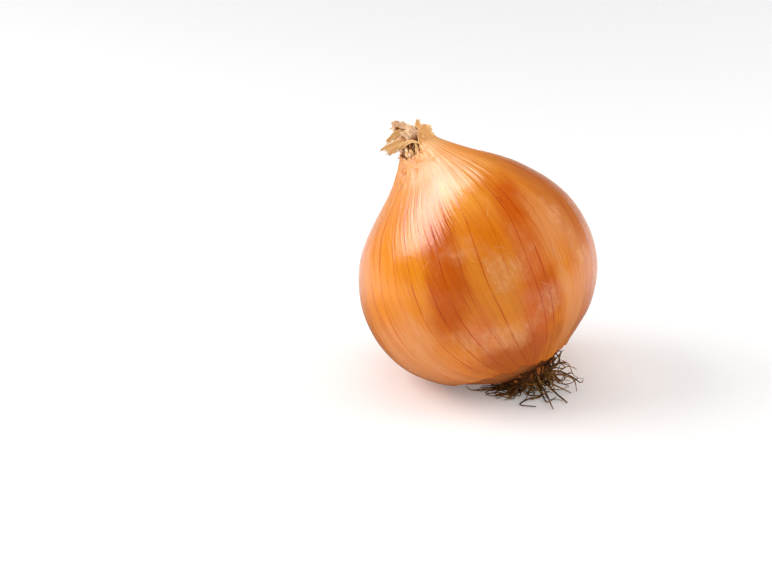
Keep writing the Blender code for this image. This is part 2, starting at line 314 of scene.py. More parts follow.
    def point(self, length: float, angle: float, lift: float, relief_share: float = 1.0) -> Vector:
        """Works out a point of the surface.

        Args:
            length: The way along the outline from the middle of the root end.
            angle: The angle round the axis.
            lift: How far the point stands off the outline.
            relief_share: How much of the pleats and dents it has.

        Returns:
            The point in the frame.
        """
        height, radius = self.height_after(length), self.radius_after(length)
        step = 0.4 * MM
        rise = self.height_after(length + step) - self.height_after(length - step)
        spread = self.radius_after(length + step) - self.radius_after(length - step)
        steep = math.hypot(rise, spread) or 1.0
        lobes = 0.6 * math.sin(3 * angle) - 0.4 * math.sin(5 * angle)
        off = lift + relief_share * self.relief(height, angle) * smoothstep(0, 20 * MM, length)
        girth = radius * (1 + self.lobe_share * lobes) + off * rise / steep
        shift = self.neck_shift * smoothstep(self.neck_shift_from, self.neck_shift_to, height)
        along = height - off * spread / steep
        return self.placement @ Vector((girth * math.cos(angle) + shift, girth * math.sin(angle), along))

    def fibre(self, length: float, angle: float) -> Point:
        """Gives the place where a pattern that follows the fibres is read.

        Args:
            length: The way along the outline.
            angle: The angle round the axis.

        Returns:
            The skin rolled on a cylinder as wide as the bulb, in millimetres.
        """
        radius = 40.0
        return (radius * math.cos(angle), radius * math.sin(angle), length / MM)


@dataclass
class Skin:
    """One skin of the bulb: a thin turned shell between two edges that wander round it."""

    form: BulbForm
    name: str
    segments: int
    rows: int
    low_edge: Callable[[float], float]
    high_edge: Callable[[float], float]
    lift: Callable[[float, float], float]
    lowest_length: float
    highest_length: float
    thickness: float = 0.25 * MM
    lowest: float = 0.0

    def turned(self) -> bpy.types.Object:
        """Draws half the outline by extruding a point along it, and spins it round the axis.

        Returns:
            The plain shell, in the onion's own axes.
        """
        span = self.highest_length - self.lowest_length
        lengths = [self.lowest_length + span * row / self.rows for row in range(self.rows + 1)]
        route = [Vector((self.form.radius_after(one), 0, self.form.height_after(one))) for one in lengths]
        bpy.ops.object.select_all(action="DESELECT")
        bpy.ops.mesh.primitive_plane_add(size=MM, location=(0, 0, 0))
        shell = bpy.context.active_object
        shell.name = shell.data.name = self.name
        bpy.ops.object.mode_set(mode="EDIT")
        bpy.ops.mesh.merge(type="CENTER")
        bpy.ops.transform.translate(value=route[0])
        for here, ahead in zip(route, route[1:]):
            bpy.ops.mesh.extrude_vertices_move(TRANSFORM_OT_translate={"value": ahead - here})
        bpy.ops.mesh.select_all(action="SELECT")
        bpy.ops.mesh.spin(steps=self.segments, angle=TURN, center=(0, 0, 0), axis=(0, 0, 1))
        bpy.ops.mesh.select_all(action="SELECT")
        bpy.ops.mesh.remove_doubles(threshold=0.01 * MM)
        bpy.ops.mesh.normals_make_consistent(inside=False)
        bpy.ops.object.mode_set(mode="OBJECT")
        return shell

    def build(self) -> bpy.types.Object:
        """Turns the shell and gives it its edges, its relief and its thickness.

        Returns:
            The shell, in the frame, with its fibre and girth attributes.
        """
        shell = self.turned()
        fibres, girths = [], []
        span = self.highest_length - self.lowest_length
        for vertex in shell.data.vertices:
            flat = math.hypot(vertex.co.x, vertex.co.y)
            on_cap = vertex.co.z < self.form.heights[0] + 0.001 * MM
            share = ((flat if on_cap else self.form.length_at(vertex.co.z)) - self.lowest_length) / span
            angle = math.atan2(vertex.co.y, vertex.co.x)
            low, high = self.low_edge(angle), self.high_edge(angle)
            length = low + (high - low) * share
            place = self.form.point(length, angle, self.lift(length, angle))
            place.z = max(place.z, self.lowest)
            vertex.co = place
            fibres.append(self.form.fibre(length, angle))
            girths.append((self.form.radius_after(length) / MM, share, 0))
        write_attribute(shell.data, "fibre", fibres)
        write_attribute(shell.data, "girth", girths)
        thicken(shell, self.thickness)
        return shell


@dataclass
class BulbSkins:
    """The outer skin, torn off round the root end, and the duller skin that shows there."""

    form: BulbForm
    skin_step: float = 0.55 * MM
    tear_mean: float = -31.0 * MM
    tear_swing: float = 4.4 * MM
    tear_low_deg: float = -50.0
    tear_ragged: float = 0.8 * MM
    tear_curl: float = 0.35 * MM
    notch_deg: float = -84.0
    notch_reach: float = 0.05
    notch_depth: float = 0.9 * MM
    tucked: float = 7 * MM
    neck_curl: float = 0.5 * MM
    neck_ragged: float = 0.45 * MM
    neck_edge: tuple[tuple[float, float], ...] = (
        (-180, 46.2),
        (-160, 45.4),
        (-140, 44.0),
        (-124, 43.4),
        (-106, 43.6),
        (-94, 44.8),
        (-84, 47.6),
        (-74, 50.4),
        (-50, 51.2),
        (-20, 51.3),
        (20, 50.8),
        (60, 49.0),
        (100, 47.6),
        (140, 46.6),
        (180, 46.2),
    )

    def tear(self, angle: float) -> float:
        """Works out where the outer skin is torn off.

        Args:
            angle: The angle round the axis.

        Returns:
            The way along the outline to its torn edge.
        """
        swing = self.tear_mean - self.tear_swing * math.cos(angle - math.radians(self.tear_low_deg))
        ragged = noise.noise(Vector((4 * math.cos(angle), 4 * math.sin(angle), 3.1)))
        fine = noise.noise(Vector((19 * math.cos(angle), 19 * math.sin(angle), 7.7)))
        notch = math.exp(-(((angle - math.radians(self.notch_deg)) / self.notch_reach) ** 2))
        height = swing + self.tear_ragged * (2 * ragged + 0.6 * fine) + self.notch_depth * notch
        return self.form.length_at(height)

    def neck(self, angle: float) -> float:
        """Works out where the outer skin ends at the neck.

        Args:
            angle: The angle round the axis.

        Returns:
            The way along the outline to its end.
        """
        degrees, heights = zip(*self.neck_edge)
        height = float(np.interp(math.degrees(angle), degrees, heights)) * MM
        ragged = noise.noise(Vector((7 * math.cos(angle), 7 * math.sin(angle), 21.3)))
        fine = noise.noise(Vector((25 * math.cos(angle), 25 * math.sin(angle), 2.3)))
        return self.form.length_at(height + self.neck_ragged * (1.4 * ragged + fine))

    def outer_lift(self, length: float, angle: float) -> float:
        """Works out how far the outer skin curls off at its torn edge and at its end at the neck.

        Args:
            length: The way along the outline.
            angle: The angle round the axis.

        Returns:
            The lift in metres.
        """
        over = (length - self.tear(angle)) / MM
        loose = 0.5 + noise.noise(Vector((6 * math.cos(angle), 6 * math.sin(angle), 15.2)))
        below = (self.neck(angle) - length) / MM
        folded = 0.5 + noise.noise(Vector((3 * math.cos(angle), 3 * math.sin(angle), 5.2)))
        curled = self.neck_curl * max(0.0, folded) * math.exp(-below / 1.0)
        return self.tear_curl * max(0.0, loose) * math.exp(-over / 1.2) + curled

    def build(self) -> tuple[bpy.types.Object, bpy.types.Object]:
        """Makes both skins.

        Returns:
            The outer skin and the under skin.
        """
        outer = Skin(
            form=self.form,
            name="outer_skin",
            segments=360,
            rows=124,
            low_edge=self.tear,
            high_edge=self.neck,
            lift=self.outer_lift,
            lowest_length=self.form.length_at(self.tear_mean),
            highest_length=self.form.length_at(self.form.heights[-1]),
        )
        under = Skin(
            form=self.form,
            name="under_skin",
            segments=240,
            rows=40,
            low_edge=lambda angle: 0.0,
            high_edge=lambda angle: self.tear(angle) + self.tucked,
            lift=lambda length, angle: -self.skin_step,
            lowest_length=0.0,
            highest_length=self.form.length_at(self.tear_mean) + self.tucked,
            lowest=0.4 * MM,
        )
        return outer.build(), under.build()


class Tone(Enum):
    """The colour of a leaf end, as a place between pale straw, peach and dark brown."""

    STRAW = 0.0
    PEACH = 1.0
    DARK = 2.0


@dataclass(frozen=True)
class LeafEnd:
    """A dry leaf end: a curled strip along a route, in millimetres in the onion's own axes."""

    name: str
    route: tuple[Point, ...]
    widths: tuple[float, ...]
    across: Point
    across_tip: Point
    curl_deg: float = 50.0
    curl_tip_deg: float = 50.0
    wrinkle: float = 0.25
    fray: float = 0.12
    ragged: float = 0.12
    thickness: float = 0.32
    tone: Tone = Tone.STRAW
    seed: float = 0.0
    columns: int = 12
    rows: int = 26

    def build(self, placement: Matrix) -> bpy.types.Object:
        """Shapes the strip from a grid.

        Args:
            placement: The matrix from the onion's axes to the frame.

        Returns:
            The strip in the frame, with its fibre attribute.
        """
        bpy.ops.object.select_all(action="DESELECT")
        bpy.ops.mesh.primitive_grid_add(x_subdivisions=self.columns, y_subdivisions=self.rows, size=1)
        strip = bpy.context.active_object
        strip.name = strip.data.name = self.name
        points = [Vector(point) for point in self.route]
        widths = [Vector((width, 0, 0)) for width in self.widths]
        total = sum((b - a).length for a, b in zip(points, points[1:]))
        fibres, girths = [], []
        for vertex in strip.data.vertices:
            side, way = vertex.co.x, vertex.co.y + 0.5
            torn = 0.5 + 0.5 * noise.noise(Vector((side * 9, self.seed, 4.2)))
            torn += 0.5 * noise.noise(Vector((side * 23, self.seed, 9.1)))
            share = max(0.0, min(1.0, way * (1 - self.fray * max(0.0, torn) * way**3)))
            middle = curve_at(points, share)
            ahead = curve_at(points, min(1.0, share + 0.02)) - curve_at(points, max(0.0, share - 0.02))
            along = ahead.normalized()
            aim = Vector(self.across).lerp(Vector(self.across_tip), share)
            across = (aim - aim.dot(along) * along).normalized()
            outward = along.cross(across)
            width = max(0.2, curve_at(widths, share).x)
            curl = math.radians(self.curl_deg + (self.curl_tip_deg - self.curl_deg) * share)
            curl = curl if abs(curl) > 0.01 else 0.01
            bow = width / curl
            edge = noise.noise(Vector((share * total * 0.9, side * 1.5, self.seed + 2.7)))
            at_edge = Vector((share * total * 2.4, 5.0 * math.copysign(1, side), self.seed + 6.1))
            notch = noise.noise(at_edge)
            turn = side * curl * (1 + 0.25 * edge + self.ragged * notch * smoothstep(0.25, 0.5, abs(side)))
            place = middle + across * bow * math.sin(turn) - outward * bow * (1 - math.cos(turn))
            crease = noise.noise(Vector((side * width * 1.3, share * total * 0.35, self.seed + 5.5)))
            rumple = noise.noise(Vector((side * width * 0.5, share * total * 0.8, self.seed + 8.5)))
            fine = noise.noise(Vector((side * width * 3.4, share * total * 0.6, self.seed + 3.9)))
            place += outward * self.wrinkle * (0.9 * crease + 0.8 * rumple + 0.5 * fine)
            vertex.co = placement @ (place * MM)
            fibres.append((side * width, self.seed, share * total))
            girths.append((width, share, self.tone.value))
        write_attribute(strip.data, "fibre", fibres)
        write_attribute(strip.data, "girth", girths)
        thicken(strip, self.thickness * MM, 0.0)
        return strip


RIGHT, UP = (1, 0, 0), (0, 0, 1)


@dataclass
class NeckCore:
    """The gathered core in the skin's end: pleated at its foot, twisted and drawn in at its top."""

    form: BulbForm
    bottom: float = 41.0 * MM
    top: float = 51.2 * MM
    inset: float = 0.75 * MM
    follows_to: float = 47 * MM
    proud: float = 0.1 * MM
    dip: float = 2.0 * MM
    segments: int = 144
    rings: int = 30
    folds: int = 5
    fold_height: float = 0.9 * MM
    gathers: int = 12
    gather_height: float = 0.3 * MM
    lump_height: float = 0.8 * MM
    lump_wave: float = 3 * MM
    crease_height: float = 0.5 * MM
    crease_wave: float = 1.6 * MM
    hollow_deg: float = -118.0
    hollow_depth: float = 1.7 * MM
    hollow_foot: tuple[float, float] = (43.2 * MM, 44.6 * MM)
    hollow_head: tuple[float, float] = (47 * MM, 49 * MM)

    def relief(self, share: float, angle: float, height: float) -> float:
        """Works out how far the folds lift the core.

        Args:
            share: The way up the core, from 0 to 1.
            angle: The angle round the axis.
            height: The height on the axis.

        Returns:
            The lift in metres.
        """
        hollow = smoothstep(0.5, 0.95, math.cos(angle - math.radians(self.hollow_deg)))
        hollow *= smoothstep(*self.hollow_foot, height) * (1 - smoothstep(*self.hollow_head, height))
        fold = 2 * abs(math.cos(self.folds * angle + 2.2 * share + 0.8)) - 1
        gather = 2 * abs(math.cos(self.gathers * angle + 1.2 * share)) - 1
        relief = self.fold_height * fold * smoothstep(0.3, 0.8, share) + self.gather_height * gather
        relief -= self.hollow_depth * hollow
        relief += self.lump_height * self.form.ripple(angle, height, 2.6, self.lump_wave, 71)
        relief += self.crease_height * self.form.ripple(angle, height, 6.5, self.crease_wave, 83)
        return relief

    def build(self) -> bpy.types.Object:
        """Turns the core from a sphere.

        Returns:
            The core, closed, in the frame.
        """
        bpy.ops.object.select_all(action="DESELECT")
        bpy.ops.mesh.primitive_uv_sphere_add(segments=self.segments, ring_count=self.rings, radius=1)
        core = bpy.context.active_object
        core.name = core.data.name = "neck_core"
        fibres, girths = [], []
        for vertex in core.data.vertices:
            share = 1 - math.acos(max(-1.0, min(1.0, vertex.co.z))) / math.pi
            angle = math.atan2(vertex.co.y, vertex.co.x)
            height = self.bottom + (self.top - self.bottom) * share**0.8
            foot = max(0.0, self.form.radius_at(min(height, self.follows_to)) - self.inset)
            closed = math.sqrt(max(0.0, 1 - smoothstep(0.55, 1.0, share) ** 2))
            open_foot = smoothstep(0.0, 0.12, share)
            radius = (foot + min(self.relief(share, angle, height), self.proud)) * closed * open_foot
            dip = self.dip * smoothstep(0.75, 1.0, share)
            across = radius * math.cos(angle) + self.form.neck_shift
            vertex.co = self.form.placement @ Vector((across, radius * math.sin(angle), height - dip))
            fibres.append((6 * math.cos(angle), 6 * math.sin(angle), height / MM))
            girths.append((6, share, Tone.DARK.value))
        write_attribute(core.data, "fibre", fibres)
        write_attribute(core.data, "girth", girths)
        return core


LEAF_ENDS = (
    LeafEnd(
        name="broad_fold",
        route=(
            (2.2, -2.6, 46.8),
            (2.2, -3.8, 49.8),
            (1.4, -3.4, 52.6),
            (-0.4, -2.2, 55.0),
            (-2.6, -1.4, 56.4),
        ),
        widths=(5.8, 5.6, 4.9, 3.9, 2.6),
        across=(1, 0, 0.1),
        across_tip=(0.45, 0.1, 1),
        curl_deg=95,
        curl_tip_deg=150,
        wrinkle=0.6,
        fray=0.14,
        ragged=0.3,
        tone=Tone.PEACH,
        seed=1.3,
        columns=28,
        rows=44,
    ),
    # A dark strip just in front of and below the broad fold's tip: painted shade on the fold's shadowed
    # underside.
    LeafEnd(
        name="fold_lining",
        route=((0.6, -2.6, 51.4), (-0.6, -2.9, 53.2), (-2.2, -2.4, 54.9)),
        widths=(2.6, 2.4, 1.6),
        across=(0.7, 0, 0.7),
        across_tip=(0.5, -0.2, 0.8),
        curl_deg=80,
        curl_tip_deg=120,
        wrinkle=0.4,
        fray=0.3,
        ragged=0.4,
        tone=Tone.DARK,
        seed=1.9,
    ),
    LeafEnd(
        name="fold_behind",
        route=((-0.6, 0.6, 47.0), (-1.0, 0.9, 51.0), (-1.8, 0.6, 53.4), (-3.2, 0.0, 54.6)),
        widths=(6.4, 5.6, 4.2, 2.2),
        across=(1, 0.2, 0),
        across_tip=(0.6, 0, 0.8),
        curl_deg=-80,
        curl_tip_deg=-120,
        wrinkle=0.5,
        fray=0.25,
        ragged=0.3,
        tone=Tone.PEACH,
        seed=2.1,
        columns=16,
    ),
    LeafEnd(
        name="right_flap",
        route=((6.6, -3.6, 46.6), (6.6, -3.2, 49.0), (6.0, -2.4, 51.0), (5.0, -1.2, 52.0)),
        widths=(6.0, 5.6, 4.6, 3.0),
        across=(0.75, 0.65, 0),
        across_tip=(0.9, 0.5, -0.4),
        curl_deg=100,
        curl_tip_deg=60,
        wrinkle=0.3,
        fray=0.12,
        ragged=0.2,
        seed=3.4,
        columns=20,
    ),
    LeafEnd(
        name="spike",
        route=((4.8, -1.6, 49.6), (5.5, -1.8, 51.9), (6.5, -1.6, 54.0)),
        widths=(2.4, 2.4, 1.0),
        across=RIGHT,
        across_tip=(1, 0.3, 0),
        curl_deg=110,
        curl_tip_deg=110,
        wrinkle=0.12,
        fray=0.0,
        seed=4.6,
    ),
    LeafEnd(
        name="strip_high",
        route=((1.2, -2.4, 51.6), (-1.4, -3.4, 53.0), (-4.4, -3.9, 52.5), (-7.6, -3.6, 51.0)),
        widths=(1.6, 1.9, 1.7, 1.1),
        across=(0.3, -0.2, 1),
        across_tip=(0.3, -0.3, 1),
        curl_deg=70,
        curl_tip_deg=40,
        wrinkle=0.22,
        fray=0.3,
        ragged=0.3,
        seed=5.2,
        columns=16,
    ),
    LeafEnd(
        name="strip_middle",
        route=((1.0, -3.0, 48.9), (-2.2, -4.3, 50.0), (-6.0, -4.5, 50.4), (-9.9, -3.8, 50.2)),
        widths=(1.5, 1.7, 1.6, 1.0),
        across=(0.1, -0.2, 1),
        across_tip=(0, -0.4, 1),
        curl_deg=70,
        curl_tip_deg=40,
        wrinkle=0.22,
        fray=0.3,
        ragged=0.3,
        seed=6.8,
        columns=14,
    ),
    LeafEnd(
        name="strip_low",
        route=((0.8, -3.4, 48.2), (-2.0, -4.6, 48.9), (-5.6, -4.8, 48.6), (-8.9, -4.2, 47.8)),
        widths=(1.4, 1.7, 1.8, 1.2),
        across=(0.1, -0.2, 1),
        across_tip=(0.1, -0.4, 1),
        curl_deg=60,
        curl_tip_deg=30,
        wrinkle=0.22,
        fray=0.3,
        ragged=0.3,
        seed=7.9,
        columns=14,
    ),
    LeafEnd(
        name="rim_band",
        route=(
            (-4.8, -4.2, 48.2),
            (-2.4, -5.6, 48.9),
            (0.2, -6.0, 48.7),
            (2.2, -6.3, 47.6),
            (3.3, -6.5, 45.4),
        ),
        widths=(0.7, 0.8, 0.8, 0.7, 0.3),
        across=UP,
        across_tip=(0.8, 0, 0.5),
        curl_deg=60,
        curl_tip_deg=40,
        wrinkle=0.12,
        fray=0.1,
        ragged=0.3,
        thickness=0.22,
        seed=8.3,
        columns=8,
        rows=34,
    ),
    LeafEnd(
        name="rim_thread",
        route=((-3.6, -4.4, 47.6), (-1.4, -5.9, 48.0), (1.0, -6.3, 47.9), (2.9, -6.6, 46.6)),
        widths=(0.35, 0.45, 0.4, 0.25),
        across=UP,
        across_tip=(0.8, 0, 0.5),
        curl_deg=60,
        curl_tip_deg=40,
        wrinkle=0.15,
        fray=0.1,
        thickness=0.2,
        seed=8.9,
        columns=6,
        rows=30,
    ),
    LeafEnd(
        name="back_fold",
        route=((2.4, 4.0, 46.0), (1.6, 5.0, 49.6), (-0.4, 5.4, 52.2), (-2.6, 4.8, 53.4)),
        widths=(6.4, 6.0, 4.6, 2.6),
        across=(-1, 0, 0.1),
        across_tip=(-0.6, 0.2, -0.8),
        curl_deg=80,
        curl_tip_deg=60,
        wrinkle=0.4,
        fray=0.15,
        tone=Tone.PEACH,
        seed=9.7,
        columns=18,
    ),
    LeafEnd(
        name="back_flap",
        route=((5.4, 3.6, 46.2), (6.0, 4.4, 49.2), (6.6, 5.6, 50.9), (7.2, 7.0, 51.3)),
        widths=(5.2, 4.8, 4.0, 2.0),
        across=(-0.6, 0.8, 0),
        across_tip=(-0.6, 0.8, 0.2),
        curl_deg=70,
        curl_tip_deg=40,
        wrinkle=0.35,
        fray=0.2,
        seed=10.4,
        columns=16,
    ),
    LeafEnd(
        name="back_strip",
        route=((-0.8, 3.4, 47.2), (-2.8, 4.4, 49.4), (-5.2, 5.2, 50.0), (-7.6, 5.6, 49.4)),
        widths=(2.8, 2.6, 2.2, 1.0),
        across=(0.2, 0.3, 1),
        across_tip=(0, 0.3, 1),
        curl_deg=-60,
        curl_tip_deg=-30,
        wrinkle=0.25,
        fray=0.3,
        seed=11.8,
    ),
)


@dataclass
class NeckHusk:
    """The dry top: a gathered core in the skin's end, leaf ends that fold over it, and small flakes."""

    form: BulbForm
    flake_count: int = 46
    flake_arcs: tuple[tuple[float, float], ...] = ((-170, -92), (-150, -98), (70, 190))
    splinter_count: int = 26
    seed: int = 5
    leaf_ends: tuple[LeafEnd, ...] = LEAF_ENDS

    def flake(self, index: int, source: random.Random) -> LeafEnd:
        """Draws a small torn flake that stands on the neck.

        Args:
            index: Its number.
            source: The random source.

        Returns:
            The flake as a leaf end.
        """
        places = [source.uniform(*arc) for arc in self.flake_arcs]
        angle = math.radians(source.choice(places))
        out = Vector((math.cos(angle), math.sin(angle), 0))
        height = source.uniform(43.2, 48.0)
        inset = source.uniform(0.3, 1.6)
        radius = self.form.radius_at(height * MM) / MM - inset
        start = out * radius + Vector((self.form.neck_shift / MM, 0, height))
        length = source.uniform(1.4, 3.4)
        lean = out * source.uniform(0.0, 0.35) + Vector((0, 0, source.choice((1, 1, -0.5))))
        lean = (lean + Vector([source.uniform(-0.3, 0.3) for _ in range(3)])).normalized()
        middle = start + lean * length * 0.5 + out * 0.15
        tip = middle + (lean + out * source.uniform(-0.5, 0.3)).normalized() * length * 0.5
        width = source.uniform(0.6, 1.8)
        side = (-math.sin(angle), math.cos(angle), 0)
        return LeafEnd(
            name=f"flake_{index}",
            route=(tuple(start), tuple(middle), tuple(tip)),
            widths=(width, width * 0.9, width * 0.4),
            across=side,
            across_tip=side,
            curl_deg=source.uniform(-90, 90),
            curl_tip_deg=source.uniform(-120, 120),
            wrinkle=0.15,
            fray=0.3,
            thickness=0.2,
            tone=source.choice((Tone.STRAW, Tone.STRAW, Tone.PEACH, Tone.DARK)),
            seed=20 + index * 1.7,
            columns=6,
            rows=8,
        )

    def splinter(self, index: int, source: random.Random) -> LeafEnd:
        """Draws a thin fibre that hangs out to the left among the strips.

        Args:
            index: Its number.
            source: The random source.

        Returns:
            The fibre as a leaf end.
        """
        rise = source.uniform(48.2, 53.0)
        start = Vector((source.uniform(-1.6, 1.4), source.uniform(-4.4, -2.4), rise))
        drop = source.uniform(-1.6, 0.6) - (rise - 50.0) * 0.25
        reach = source.uniform(2.6, 7.2)
        tip = start + Vector((-reach, source.uniform(-1.0, 0.6), drop))
        middle = start.lerp(tip, 0.5) + Vector([source.uniform(-0.5, 0.5) for _ in range(3)])
        width = source.uniform(0.25, 0.6)
        side = (0, source.uniform(-0.6, 0.2), 1)
        return LeafEnd(
            name=f"splinter_{index}",
            route=(tuple(start), tuple(middle), tuple(tip)),
            widths=(width, width, width * 0.3),
            across=side,
            across_tip=side,
            curl_deg=source.uniform(-140, 140),
            curl_tip_deg=source.uniform(-140, 140),
            wrinkle=0.12,
            fray=0.1,
            thickness=0.18,
            tone=source.choice((Tone.STRAW, Tone.STRAW, Tone.PEACH)),
            seed=70 + index * 1.9,
            columns=4,
            rows=14,
        )

    def build(self) -> list[bpy.types.Object]:
        """Makes the core, the leaf ends and the flakes.

        Returns:
            The pieces.
        """
        pieces = [NeckCore(self.form).build()]
        pieces += [leaf_end.build(self.form.placement) for leaf_end in self.leaf_ends]
        source = random.Random(self.seed)
        flakes = [self.flake(index, source) for index in range(self.flake_count)]
        pieces.append(join_pieces([flake.build(self.form.placement) for flake in flakes], "neck_flakes"))
        splinters = [self.splinter(index, source) for index in range(self.splinter_count)]
        pieces.append(join_pieces([one.build(self.form.placement) for one in splinters], "neck_splinters"))
        return pieces


class RootHue(Enum):
    """The colour of a root."""

    DARK = "roots_dark"
    BROWN = "roots_brown"
    TAN = "roots_tan"


MOSTLY_DARK = (RootHue.DARK, RootHue.DARK, RootHue.BROWN)
MIXED_HUES = (RootHue.DARK, RootHue.DARK, RootHue.BROWN, RootHue.TAN)


@dataclass(frozen=True)
class ShapedRoot:
    """A root whose course is given point by point, in millimetres from the point under the bulb's middle.
    """

    hue: RootHue
    radius: float
    course: tuple[Point, ...]


@dataclass(frozen=True)
class RootSpray:
    """Roots that are drawn at random and lie the same way. Lengths and heights in metres."""

    count: int
    drift: Point
    length: tuple[float, float]
    radius: tuple[float, float]
    wander: float
    sag: float
    hues: tuple[RootHue, ...]


SHAPED_ROOTS = (
    ShapedRoot(
        RootHue.DARK,
        0.42,
        (
            (20, -14, 4),
            (21.5, -16, 0.5),
            (20, -19, 0.5),
            (17, -20, 0.5),
            (13.8, -24.6, 0.5),
            (19, -26, 0.5),
        ),
    ),
    ShapedRoot(RootHue.BROWN, 0.45, ((21, -15, 3.5), (22.9, -18, 1.2), (24.4, -28, 0.5))),
    ShapedRoot(RootHue.DARK, 0.48, ((22, -14, 4), (27.1, -18.1, 0.6), (29.4, -22.9, 0.5))),
    ShapedRoot(
        RootHue.DARK,
        0.34,
        ((20.5, -15, 2), (21.8, -18.5, 0.5), (23, -22.6, 0.5), (26, -20.4, 1.4)),
    ),
    ShapedRoot(RootHue.DARK, 0.28, ((17, -14.5, 2), (12.1, -14.6, 0.5), (9.6, -16.9, 0.5))),
    ShapedRoot(RootHue.DARK, 0.34, ((18, -15, 2), (16.3, -17.4, 0.5))),
    ShapedRoot(
        RootHue.BROWN,
        0.38,
        ((22, -13, 5), (26.2, -14, 6.6), (30.6, -13, 5.3), (32.6, -13.2, 3.6), (33.2, -14.4, 0.6)),
    ),
    ShapedRoot(RootHue.TAN, 0.45, ((22, -13, 4), (26.5, -14.5, 2.6), (31.2, -15.5, 0.6))),
    ShapedRoot(
        RootHue.BROWN,
        0.32,
        ((15, -14, 2.2), (9, -13.5, 0.8), (2.3, -12.3, 0.5), (-1.6, -13.2, 0.5), (-3.4, -9.9, 0.5)),
    ),
    ShapedRoot(
        RootHue.TAN,
        0.36,
        ((16, -13, 3.4), (9.8, -12.2, 2.4), (5.4, -13.4, 1), (2.8, -15.4, 0.5), (6.2, -15.6, 0.5)),
    ),
)


